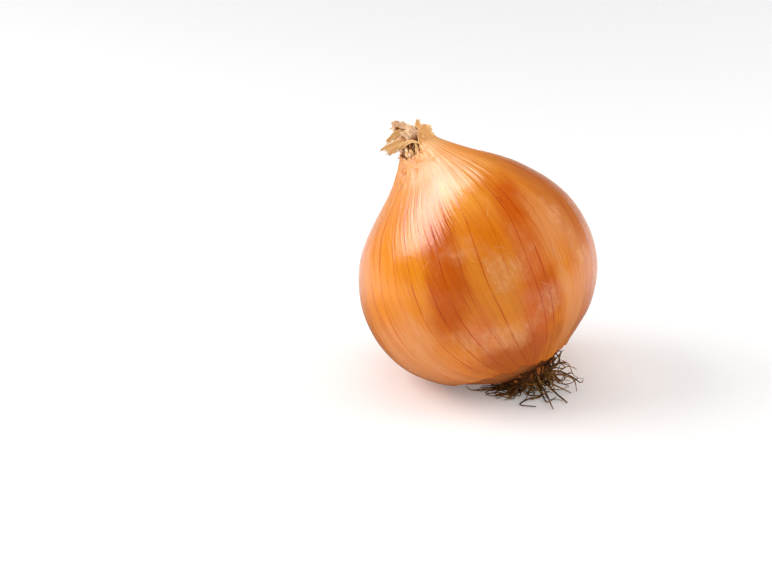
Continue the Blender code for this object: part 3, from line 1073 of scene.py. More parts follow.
@dataclass
class RootTuft:
    """The crusty root plate, the torn shreds round it, and the dry roots that spread over the surface."""

    form: BulbForm
    root_end: float = -37.6 * MM
    plate_radius: float = 7.6 * MM
    plate_height: float = 2.9 * MM
    crust_height: float = 0.75 * MM
    lowest_crust: float = 0.2 * MM
    shred_count: int = 70
    lowest_shred: float = 0.1 * MM
    sprays: tuple[RootSpray, ...] = (
        RootSpray(34, (-1.0, 0.05, 0), (8 * MM, 17 * MM), (0.24 * MM, 0.44 * MM), 0.5, 0.20, MOSTLY_DARK),
        RootSpray(34, (1.5, 0.2, 0.1), (11 * MM, 19 * MM), (0.20 * MM, 0.36 * MM), 1.0, 0.0, MIXED_HUES),
        RootSpray(36, (-0.2, 0.0, 0), (5 * MM, 10 * MM), (0.22 * MM, 0.42 * MM), 1.2, 0.12, MIXED_HUES),
        RootSpray(4, (0.8, -0.6, 0), (7 * MM, 11 * MM), (0.18 * MM, 0.28 * MM), 0.9, 0.12, MIXED_HUES),
    )
    step: float = 1.1 * MM
    drift_pull: float = 0.18
    bend_spread: float = 0.45
    bend_kept: float = 0.8
    bend_turn: float = 0.6
    kink_chance: float = 0.08
    kink_reach: float = 0.9
    clearance: float = 0.25 * MM
    shaded_ring: float = 11.5 * MM
    seed: int = 19
    shaped: tuple[ShapedRoot, ...] = SHAPED_ROOTS

    def clear(self, point: Vector, radius: float) -> Vector:
        """Moves a root's point off the bulb, the surface and the gap round the flat spot.

        Args:
            point: The point in the frame.
            radius: The root's radius.

        Returns:
            The point, moved where it has to be.
        """
        gap = radius + self.clearance
        back = self.form.placement.inverted()
        for _ in range(4):
            across = Vector((point.x, point.y, 0))
            if across.length < self.shaded_ring:
                point = across.normalized() * self.shaded_ring + Vector((0, 0, point.z))
            inside = back @ point
            distance = math.hypot(inside.x, inside.y)
            if inside.z > self.root_end - gap:
                spread = self.form.radius_at(inside.z + MM) - self.form.radius_at(inside.z - MM)
                slope = spread / (2 * MM)
                steep = math.hypot(1, slope)
                depth = (self.form.radius_at(inside.z) + gap * steep - distance) / steep
                if depth > 0:
                    outward = Vector((inside.x / distance, inside.y / distance, -slope)) / steep
                    point = self.form.placement @ (inside + outward * depth)
            point.z = max(point.z, radius)
        return point

    def free_course(self, spray: RootSpray, source: random.Random, radius: float) -> list[Vector]:
        """Draws the course of a root from the plate down to the surface and along it.

        Args:
            spray: The spray that it belongs to.
            source: The random source.
            radius: The root's radius.

        Returns:
            The points of the course in the frame.
        """
        angle = source.uniform(0, TURN)
        spread = self.plate_radius * 0.85 * math.sqrt(source.random())
        low = self.root_end - self.plate_height * 0.5
        start = Vector((spread * math.cos(angle), spread * math.sin(angle), low))
        down = self.form.placement.to_3x3() @ Vector((0.3 * math.cos(angle), 0.3 * math.sin(angle), -0.6))
        point = self.form.placement @ start
        heading = (down + Vector(spray.drift)).normalized()
        bend = Vector((0, 0, 0))
        points = [point]
        for _ in range(round(source.uniform(*spray.length) / self.step)):
            swerve = Vector([source.gauss(0, self.bend_spread) for _ in range(3)])
            bend = (bend + swerve * spray.wander) * self.bend_kept
            heading = heading + Vector(spray.drift) * self.drift_pull + bend.cross(heading) * self.bend_turn
            if source.random() < self.kink_chance:
                heading += Vector([source.uniform(-self.kink_reach, self.kink_reach) for _ in range(3)])
            heading.z -= spray.sag
            if point.z < 3 * radius:
                heading.z = source.uniform(-0.1, 0.35)
            heading.normalize()
            point = self.clear(point + heading * self.step, radius)
            points.append(point)
        return points

    def shaped_course(self, root: ShapedRoot) -> list[Vector]:
        """Works out the course of a root whose points are listed.

        Args:
            root: The root.

        Returns:
            The points of the course in the frame, from inside the plate.
        """
        heart = self.form.placement @ Vector((0, 0, self.root_end - self.plate_height * 0.5))
        middle = self.form.placement.translation
        below = Vector((middle.x, middle.y, 0))
        corners = [heart] + [below + Vector(point) * MM for point in root.course]
        count = 7 * (len(corners) - 1)
        smooth = [curve_at(corners, step / count) for step in range(count + 1)]
        radius = root.radius * MM
        return [heart] + [self.clear(point, radius) for point in smooth[1:]]

    def roots(self, hue: RootHue, courses: Sequence[Course], source: random.Random) -> bpy.types.Object:
        """Makes the roots of one colour as bevelled curves, and turns them into one mesh.

        Args:
            hue: Their colour.
            courses: The points and the radius of each root.
            source: The random source, for how thick a root is from point to point.

        Returns:
            The roots as one object.
        """
        bpy.ops.object.select_all(action="DESELECT")
        bpy.ops.curve.primitive_nurbs_path_add()
        roots = bpy.context.active_object
        roots.name = roots.data.name = hue.value
        curve = roots.data
        curve.splines.clear()
        curve.bevel_depth = 1.0
        curve.bevel_resolution = 1
        curve.use_fill_caps = True
        curve.dimensions = "3D"
        for points, radius in courses:
            spline = curve.splines.new("NURBS")
            spline.points.add(len(points) - 1)
            spline.use_endpoint_u = True
            spline.order_u = 3
            spline.resolution_u = 2
            for index, point in enumerate(points):
                share = index / (len(points) - 1)
                thick = radius * (1 - 0.6 * share**1.5) * source.uniform(0.8, 1.15)
                place = point.copy()
                place.z = max(place.z, thick * 0.9)
                spline.points[index].co = (*place, 1)
                spline.points[index].radius = thick
        bpy.ops.object.convert(target="MESH")
        roots.data.name = hue.value
        return roots

    def plate(self) -> bpy.types.Object:
        """Shapes the root plate from a ball: a low dome with a rough crust.

        Returns:
            The plate in the frame.
        """
        bpy.ops.object.select_all(action="DESELECT")
        bpy.ops.mesh.primitive_ico_sphere_add(subdivisions=6, radius=1)
        plate = bpy.context.active_object
        plate.name = plate.data.name = "root_plate"
        fibres, girths = [], []
        for vertex in plate.data.vertices:
            ball = vertex.co.copy()
            rough = noise.noise(ball * 5 + Vector((3, 1, 7))) + 0.6 * noise.noise(ball * 13)
            size = Vector((self.plate_radius, self.plate_radius, self.plate_height))
            flat = ball * size + ball * rough * self.crust_height
            place = self.form.placement @ (flat + Vector((0, 0, self.root_end)))
            place.z = max(place.z, self.lowest_crust)
            vertex.co = place
            fibres.append(ball * 8)
            girths.append((8, 0.5, Tone.DARK.value))
        write_attribute(plate.data, "fibre", fibres)
        write_attribute(plate.data, "girth", girths)
        return plate

    def shred(self, index: int, source: random.Random) -> LeafEnd:
        """Draws a small brown shred of old skin at the edge of the plate.

        Args:
            index: Its number.
            source: The random source.

        Returns:
            The shred as a leaf end.
        """
        angle = source.uniform(0, TURN)
        out = Vector((math.cos(angle), math.sin(angle), 0))
        low = self.root_end / MM
        radius = source.uniform(6.6, 11.5)
        rise = max(0.0, (radius - 8.4) * 0.45)
        start = out * radius + Vector((0, 0, low + rise + 0.25))
        aside = source.uniform(-1, 1)
        turn = Vector((-math.sin(angle), math.cos(angle), 0))
        way = (out * source.uniform(-0.9, 0.5) + turn * aside + Vector((0, 0, -0.55))).normalized()
        length = source.uniform(1.2, 3.4)
        middle = start + way * length * 0.5
        tip = middle + (way + Vector((0, 0, source.uniform(-0.6, 0.3)))).normalized() * length * 0.5
        width = source.uniform(0.5, 1.6)
        side = tuple(out.cross(way) + Vector((0, 0, 0.01)))
        return LeafEnd(
            name=f"shred_{index}",
            route=(tuple(start), tuple(middle), tuple(tip)),
            widths=(width, width * 0.8, width * 0.3),
            across=side,
            across_tip=side,
            curl_deg=source.uniform(-100, 100),
            curl_tip_deg=source.uniform(-120, 120),
            wrinkle=0.15,
            fray=0.3,
            thickness=0.2,
            tone=source.choice((Tone.DARK, Tone.DARK, Tone.PEACH)),
            seed=120 + index * 1.3,
            columns=5,
            rows=7,
        )

    def shreds(self) -> bpy.types.Object:
        """Makes all the shreds and joins them.

        Returns:
            The shreds as one object.
        """
        source = random.Random(self.seed + 1)
        drawn = [self.shred(index, source) for index in range(self.shred_count)]
        shreds = join_pieces([shred.build(self.form.placement) for shred in drawn], "root_shreds")
        for vertex in shreds.data.vertices:
            vertex.co.z = max(vertex.co.z, self.lowest_shred)
        return shreds

    def build(self) -> dict[str, bpy.types.Object]:
        """Makes the plate, the shreds and the roots.

        Returns:
            The pieces by name.
        """
        source = random.Random(self.seed)
        courses: dict[RootHue, list[Course]] = {hue: [] for hue in RootHue}
        for root in self.shaped:
            courses[root.hue].append((self.shaped_course(root), root.radius * MM))
        for spray in self.sprays:
            for _ in range(spray.count):
                radius = source.uniform(*spray.radius)
                hue = source.choice(spray.hues)
                courses[hue].append((self.free_course(spray, source, radius), radius))
        pieces = {hue.value: self.roots(hue, courses[hue], source) for hue in RootHue}
        pieces["root_plate"] = self.plate()
        pieces["root_shreds"] = self.shreds()
        return pieces


class Graph:
    """Places and joins the nodes of a material or of a node group."""

    def __init__(self, tree: bpy.types.NodeTree) -> None:
        """Starts from an empty tree.

        Args:
            tree: The material's or the group's node tree.
        """
        self.tree = tree
        tree.nodes.clear()

    def add(self, kind: str, **settings: object) -> bpy.types.Node:
        """Adds a node.

        Args:
            kind: The node's type.
            settings: Its properties.

        Returns:
            The node.
        """
        node = self.tree.nodes.new(kind)
        for name, value in settings.items():
            setattr(node, name, value)
        return node

    def feed(self, value: object, socket: Socket) -> None:
        """Joins a socket's value, or sets a plain one, on an input."""
        if isinstance(value, bpy.types.NodeSocket):
            self.tree.links.new(value, socket)
        else:
            socket.default_value = value

    def math(self, operation: str, first: object, second: object = 0.0) -> Socket:
        """Adds a Math node.

        Args:
            operation: Its operation.
            first: A socket or a number.
            second: A socket or a number.

        Returns:
            Its output.
        """
        node = self.add("ShaderNodeMath", operation=operation)
        self.feed(first, node.inputs[0])
        self.feed(second, node.inputs[1])
        return node.outputs[0]

    def vector(self, operation: str, first: object, second: object = (0, 0, 0)) -> bpy.types.Node:
        """Adds a Vector Math node.

        Args:
            operation: Its operation.
            first: A socket or a vector.
            second: A socket or a vector.

        Returns:
            The node.
        """
        node = self.add("ShaderNodeVectorMath", operation=operation)
        self.feed(first, node.inputs[0])
        self.feed(second, node.inputs[1])
        return node

    def between(
        self, value: object, low: object, high: object, start: object = 0.0, end: object = 1.0
    ) -> Socket:
        """Adds a smooth Map Range.

        Args:
            value: What is mapped.
            low: Where the rise starts.
            high: Where it ends.
            start: The result below low.
            end: The result above high.

        Returns:
            Its output.
        """
        node = self.add("ShaderNodeMapRange", interpolation_type="SMOOTHSTEP")
        for item, socket in zip((value, low, high, start, end), node.inputs):
            self.feed(item, socket)
        return node.outputs[0]

    def mix(self, factor: object, first: object, second: object, blend: str = "MIX") -> Socket:
        """Mixes two colours.

        Args:
            factor: A socket or a number.
            first: The colour at 0.
            second: The colour at 1.
            blend: The blend type.

        Returns:
            The mixed colour.
        """
        node = self.add("ShaderNodeMix", data_type="RGBA", blend_type=blend, clamp_factor=True)
        self.feed(factor, node.inputs[0])
        for colour, socket in ((first, node.inputs[6]), (second, node.inputs[7])):
            self.feed((*colour, 1.0) if isinstance(colour, tuple) else colour, socket)
        return node.outputs[2]

    def noise(self, place: object, scale: object, detail: object = 3.0, rough: float = 0.5) -> Socket:
        """Adds a noise.

        Args:
            place: The coordinates.
            scale: The scale.
            detail: How many finer layers it has.
            rough: How strong they are.

        Returns:
            Its value, from 0 to 1.
        """
        node = self.add("ShaderNodeTexNoise", noise_dimensions="3D")
        self.feed(place, node.inputs["Vector"])
        self.feed(scale, node.inputs["Scale"])
        self.feed(detail, node.inputs["Detail"])
        self.feed(rough, node.inputs["Roughness"])
        return node.outputs[0]

    def attribute(self, name: str) -> Socket:
        """Reads a vector attribute of the piece."""
        return self.add("ShaderNodeAttribute", attribute_name=name).outputs["Vector"]

    def split(self, vector: object) -> bpy.types.NodeOutputs:
        """Splits a vector.

        Args:
            vector: A socket or a vector.

        Returns:
            Its three parts.
        """
        node = self.add("ShaderNodeSeparateXYZ")
        self.feed(vector, node.inputs[0])
        return node.outputs

    def place(self, name: str, **values: object) -> bpy.types.NodeOutputs:
        """Places a node group and sets its inputs.

        Args:
            name: The group's name.
            values: Its inputs, by name, with underscores for spaces.

        Returns:
            Its outputs.
        """
        node = self.add("ShaderNodeGroup")
        node.node_tree = bpy.data.node_groups[name]
        for key, value in values.items():
            self.feed(value, node.inputs[key.replace("_", " ")])
        return node.outputs


def new_group(
    name: str, inputs: Sequence[str], outputs: Sequence[str]
) -> tuple[Graph, bpy.types.NodeOutputs, bpy.types.NodeInputs]:
    """Starts a shader node group whose sockets are all numbers.

    Args:
        name: The group's name.
        inputs: The names of its inputs.
        outputs: The names of its outputs.

    Returns:
        Its graph, the sockets that its inputs give, and those that its outputs take.
    """
    tree = bpy.data.node_groups.new(name, "ShaderNodeTree")
    for socket in inputs:
        tree.interface.new_socket(name=socket, in_out="INPUT", socket_type="NodeSocketFloat")
    for socket in outputs:
        tree.interface.new_socket(name=socket, in_out="OUTPUT", socket_type="NodeSocketFloat")
    graph = Graph(tree)
    return graph, graph.add("NodeGroupInput").outputs, graph.add("NodeGroupOutput").inputs


def make_fibre_grain() -> None:
    """Makes the group for long fibres: a noise drawn out along the skin or the leaf."""
    graph, given, result = new_group("Fibre grain", ("Across", "Along", "Detail", "Shift"), ("Grain",))
    stretch = graph.add("ShaderNodeCombineXYZ")
    for socket, source in zip(stretch.inputs, (given["Across"], given["Across"], given["Along"])):
        graph.feed(source, socket)
    drawn = graph.vector("MULTIPLY", graph.attribute("fibre"), stretch.outputs[0]).outputs[0]
    shift = graph.add("ShaderNodeCombineXYZ")
    graph.feed(given["Shift"], shift.inputs[0])
    graph.feed(given["Shift"], shift.inputs[2])
    moved = graph.vector("ADD", drawn, shift.outputs[0]).outputs[0]
    graph.feed(graph.noise(moved, 1.0, given["Detail"], 0.55), result["Grain"])


def make_meridian_veins() -> None:
    """Makes the group for veins from the root end to the neck, each with its own place and strength."""
    names = ("Count", "Width", "Sway", "Faintest", "Shift")
    graph, given, result = new_group("Meridian veins", names, ("Line", "Halo"))
    parts = graph.split(graph.attribute("fibre"))
    girth = graph.split(graph.attribute("girth"))[0]
    lean = graph.between(parts[2], 50.0, 90.0, 0.0, math.radians(7.0))
    angle = graph.math("SUBTRACT", graph.math("ARCTAN2", parts[1], parts[0]), lean)
    turned = graph.math("ADD", graph.math("DIVIDE", angle, TURN), 0.5)
    slow = graph.place("Fibre grain", Across=0.11, Along=0.05, Detail=2.0, Shift=given["Shift"])[0]
    quick = graph.place("Fibre grain", Across=0.35, Along=0.22, Detail=2.0, Shift=given["Shift"])[0]
    sway = graph.math("MULTIPLY", graph.math("SUBTRACT", slow, 0.5), given["Sway"])
    small = graph.math("MULTIPLY", given["Sway"], 0.22)
    wobble = graph.math("MULTIPLY", graph.math("SUBTRACT", quick, 0.5), small)
    cells = graph.math("MULTIPLY", turned, given["Count"])
    cells = graph.math("ADD", cells, graph.math("ADD", sway, wobble))
    wrapped = graph.math("FLOORED_MODULO", cells, given["Count"])
    cell = graph.math("FLOOR", wrapped)
    chance = graph.add("ShaderNodeTexWhiteNoise", noise_dimensions="2D")
    pair = graph.add("ShaderNodeCombineXYZ")
    graph.feed(cell, pair.inputs[0])
    graph.feed(given["Shift"], pair.inputs[1])
    graph.feed(pair.outputs[0], chance.inputs["Vector"])
    chances = graph.add("ShaderNodeSeparateColor")
    graph.feed(chance.outputs["Color"], chances.inputs[0])
    middle = graph.math("ADD", 0.22, graph.math("MULTIPLY", chances.outputs[0], 0.56))
    off = graph.math("ABSOLUTE", graph.math("SUBTRACT", graph.math("FRACT", wrapped), middle))
    cell_width = graph.math("DIVIDE", graph.math("MULTIPLY", girth, TURN), given["Count"])
    distance = graph.math("MULTIPLY", off, cell_width)
    patchy = graph.place("Fibre grain", Across=0.25, Along=0.09, Detail=3.0, Shift=given["Width"])[0]
    narrowed = graph.math("MULTIPLY", given["Width"], graph.between(girth, 8.0, 30.0, 0.45, 1.0))
    width = graph.math("MULTIPLY", narrowed, graph.between(patchy, 0.3, 0.7, 0.6, 1.25))
    line = graph.between(distance, graph.math("MULTIPLY", width, 0.25), width, 1.0, 0.0)
    halo = graph.between(distance, 0.0, graph.math("MULTIPLY", given["Width"], 7.0), 1.0, 0.0)
    strength = graph.between(chances.outputs[1], 0.0, 1.0, given["Faintest"], 1.0)
    fade = graph.math("MULTIPLY", strength, graph.between(patchy, 0.32, 0.6, 0.45, 1.0))
    graph.feed(graph.math("MULTIPLY", line, fade), result["Line"])
    graph.feed(graph.math("MULTIPLY", halo, fade), result["Halo"])


def make_meridian_band() -> None:
    """Makes the group for a stretch of another colour, at an azimuth of the bulb and with blurred edges."""
    names = ("Azimuth", "Breadth", "Lean", "From", "To", "Blur")
    graph, given, result = new_group("Meridian band", names, ("Mask",))
    parts = graph.split(graph.attribute("fibre"))
    angle = graph.math("ARCTAN2", parts[1], parts[0])
    middle = graph.math("MULTIPLY", graph.math("ADD", given["From"], given["To"]), 0.5)
    lean = graph.math("MULTIPLY", graph.math("SUBTRACT", parts[2], middle), given["Lean"])
    away = graph.math("SUBTRACT", angle, graph.math("RADIANS", graph.math("ADD", given["Azimuth"], lean)))
    away = graph.math("ARCCOSINE", graph.math("MULTIPLY", graph.math("COSINE", away), 0.9999))
    rough = graph.place("Fibre grain", Across=0.09, Along=0.05, Detail=4.0, Shift=given["Azimuth"])[0]
    reach = graph.math("RADIANS", given["Breadth"])
    loose = graph.math("MULTIPLY", graph.math("SUBTRACT", rough, 0.5), graph.math("MULTIPLY", reach, 1.6))
    away = graph.math("ADD", away, loose)
    inner, outer = graph.math("MULTIPLY", reach, 0.3), graph.math("MULTIPLY", reach, 1.2)
    side = graph.between(away, inner, outer, 1.0, 0.0)
    loosest = graph.math("MULTIPLY", given["Blur"], 2.4)
    shift = graph.math("MULTIPLY", graph.math("SUBTRACT", rough, 0.5), loosest)
    along = graph.math("ADD", parts[2], shift)
    ends = []
    for edge, start, end in (("From", 0.0, 1.0), ("To", 1.0, 0.0)):
        low = graph.math("SUBTRACT", given[edge], given["Blur"])
        high = graph.math("ADD", given[edge], given["Blur"])
        ends.append(graph.between(along, low, high, start, end))
    graph.feed(graph.math("MULTIPLY", side, graph.math("MULTIPLY", *ends)), result["Mask"])


def make_branch_veins() -> None:
    """Makes the group for thin branches that cross between the long veins."""
    graph, given, result = new_group("Branch veins", ("Scale", "Width", "Cover"), ("Line",))
    sway = graph.add("ShaderNodeTexNoise")
    graph.feed(graph.attribute("fibre"), sway.inputs["Vector"])
    graph.feed(0.12, sway.inputs["Scale"])
    centred = graph.vector("SUBTRACT", sway.outputs["Color"], (0.5, 0.5, 0.5)).outputs[0]
    stretched = graph.vector("MULTIPLY", graph.attribute("fibre"), (1.0, 1.0, 0.5)).outputs[0]
    swayed = graph.vector("MULTIPLY", centred, (9.0, 9.0, 9.0)).outputs[0]
    moved = graph.vector("ADD", stretched, swayed).outputs[0]
    cells = graph.add("ShaderNodeTexVoronoi", feature="DISTANCE_TO_EDGE")
    graph.feed(moved, cells.inputs["Vector"])
    graph.feed(given["Scale"], cells.inputs["Scale"])
    line = graph.between(cells.outputs["Distance"], 0.0, given["Width"], 1.0, 0.0)
    low = graph.math("SUBTRACT", 1.0, given["Cover"])
    patch = graph.place("Fibre grain", Across=0.16, Along=0.10, Detail=2.0, Shift=31.0)[0]
    there = graph.between(patch, low, graph.math("ADD", low, 0.12))
    graph.feed(graph.math("MULTIPLY", line, there), result["Line"])


def make_worn_patches() -> None:
    """Makes the group for cloudy worn patches with broken edges, on Object coordinates."""
    graph, given, result = new_group("Worn patches", ("Scale", "Cover", "Edge", "Shift"), ("Mask",))
    place = graph.add("ShaderNodeTexCoord").outputs["Object"]
    shift = graph.add("ShaderNodeCombineXYZ")
    graph.feed(given["Shift"], shift.inputs[0])
    moved = graph.vector("ADD", place, shift.outputs[0]).outputs[0]
    cloud = graph.noise(moved, given["Scale"], 6.0, 0.62)
    low = graph.math("SUBTRACT", 1.0, given["Cover"])
    graph.feed(graph.between(cloud, low, graph.math("ADD", low, given["Edge"])), result["Mask"])


def make_scuff() -> None:
    """Makes the group for the reach of one rubbed place, its edge broken by a cloud from 0 to 1."""
    names = ("Azimuth", "Length", "Breadth", "Reach", "Cloud")
    graph, given, result = new_group("Scuff", names, ("Mask",))
    parts = graph.split(graph.attribute("fibre"))
    angle = graph.math("ARCTAN2", parts[1], parts[0])
    away = graph.math("SUBTRACT", angle, graph.math("RADIANS", given["Azimuth"]))
    away = graph.math("ARCCOSINE", graph.math("MULTIPLY", graph.math("COSINE", away), 0.9999))
    aside = graph.math("DIVIDE", away, graph.math("RADIANS", given["Breadth"]))
    off = graph.math("DIVIDE", graph.math("SUBTRACT", parts[2], given["Length"]), given["Reach"])
    out = graph.math("ADD", graph.math("MULTIPLY", aside, aside), graph.math("MULTIPLY", off, off))
    out = graph.math("SUBTRACT", out, graph.math("MULTIPLY", given["Cloud"], 1.6))
    graph.feed(graph.between(out, -1.2, 0.7, 1.0, 0.0), result["Mask"])


def make_fine_scratches() -> None:
    """Makes the group for short straight scratches, one across the middle of some cells."""
    graph, given, result = new_group("Fine scratches", ("Scale", "Width", "Cover"), ("Mask",))
    place = graph.add("ShaderNodeTexCoord").outputs["Object"]
    cells = graph.add("ShaderNodeTexVoronoi", feature="F1")
    graph.feed(place, cells.inputs["Vector"])
    graph.feed(given["Scale"], cells.inputs["Scale"])
    scaled = graph.vector("SCALE", place)
    graph.feed(given["Scale"], scaled.inputs["Scale"])
    centre = graph.vector("SCALE", cells.outputs["Position"])
    graph.feed(given["Scale"], centre.inputs["Scale"])
    away = graph.vector("SUBTRACT", scaled.outputs[0], centre.outputs[0]).outputs[0]
    slant = graph.vector("SUBTRACT", cells.outputs["Color"], (0.5, 0.5, 0.5)).outputs[0]
    slant = graph.vector("NORMALIZE", slant).outputs[0]
    off = graph.math("ABSOLUTE", graph.vector("DOT_PRODUCT", away, slant).outputs["Value"])
    line = graph.between(off, graph.math("MULTIPLY", given["Width"], 0.3), given["Width"], 1.0, 0.0)
    short = graph.between(cells.outputs["Distance"], 0.2, 0.42, 1.0, 0.0)
    chance = graph.add("ShaderNodeTexWhiteNoise", noise_dimensions="3D")
    graph.feed(cells.outputs["Position"], chance.inputs["Vector"])
    there = graph.math("LESS_THAN", chance.outputs["Value"], given["Cover"])
    graph.feed(graph.math("MULTIPLY", graph.math("MULTIPLY", line, short), there), result["Mask"])


GROUP_MAKERS = (
    make_fibre_grain,
    make_meridian_veins,
    make_branch_veins,
    make_meridian_band,
    make_worn_patches,
    make_scuff,
    make_fine_scratches,
)


def new_material(name: str) -> tuple[bpy.types.Material, Graph, bpy.types.NodeInputs]:
    """Starts a material with a Principled shader.

    Args:
        name: The material's name.

    Returns:
        The material, its graph, and the shader's inputs.
    """
    made = bpy.data.materials.new(name)
    made.use_nodes = True
    graph = Graph(made.node_tree)
    output = graph.add("ShaderNodeOutputMaterial")
    shader = graph.add("ShaderNodeBsdfPrincipled")
    graph.feed(shader.outputs[0], output.inputs["Surface"])
    return made, graph, shader.inputs


def add_bump(
    graph: Graph,
    height: Socket,
    distance: float,
    strength: float,
    shader: bpy.types.NodeInputs,
) -> None:
    """Feeds a height to the shader's normal.

    Args:
        graph: The material's graph.
        height: The height, about 0 to 1.
        distance: What 1 stands for, in metres.
        strength: How much of it shows.
        shader: The shader's inputs.
    """
    bump = graph.add("ShaderNodeBump")
    bump.inputs["Strength"].default_value = strength
    bump.inputs["Distance"].default_value = distance
    graph.feed(height, bump.inputs["Height"])
    graph.feed(bump.outputs[0], shader["Normal"])


@dataclass(frozen=True)
class Band:
    """A stretch of another colour on the skin. Angles in degrees, lengths along the skin in millimetres."""

    azimuth: float
    breadth: float
    start: float
    end: float
    blur: float
    colour: Colour
    strength: float
    lean: float = 0.0

    def mask(self, graph: Graph) -> Socket:
        """Works out where the band lies.

        Args:
            graph: The material's graph.

        Returns:
            1 on the band, 0 off it.
        """
        return graph.place(
            "Meridian band",
            Azimuth=self.azimuth,
            Breadth=self.breadth,
            Lean=self.lean,
            From=self.start,
            To=self.end,
            Blur=self.blur,
        )[0]


@dataclass(frozen=True)
class Scuff:
    """A rubbed place on the skin. Angles in degrees, lengths along the skin in millimetres."""

    azimuth: float
    length: float
    breadth: float
    reach: float
    strength: float

    def mask(self, graph: Graph, cloud: Socket) -> Socket:
        """Works out where the skin is rubbed.

        Args:
            graph: The material's graph.
            cloud: The cloud that breaks the edge, from 0 to 1.

        Returns:
            1 on the rubbed place, 0 off it.
        """
        return graph.place(
            "Scuff",
            Azimuth=self.azimuth,
            Length=self.length,
            Breadth=self.breadth,
            Reach=self.reach,
            Cloud=cloud,
        )[0]


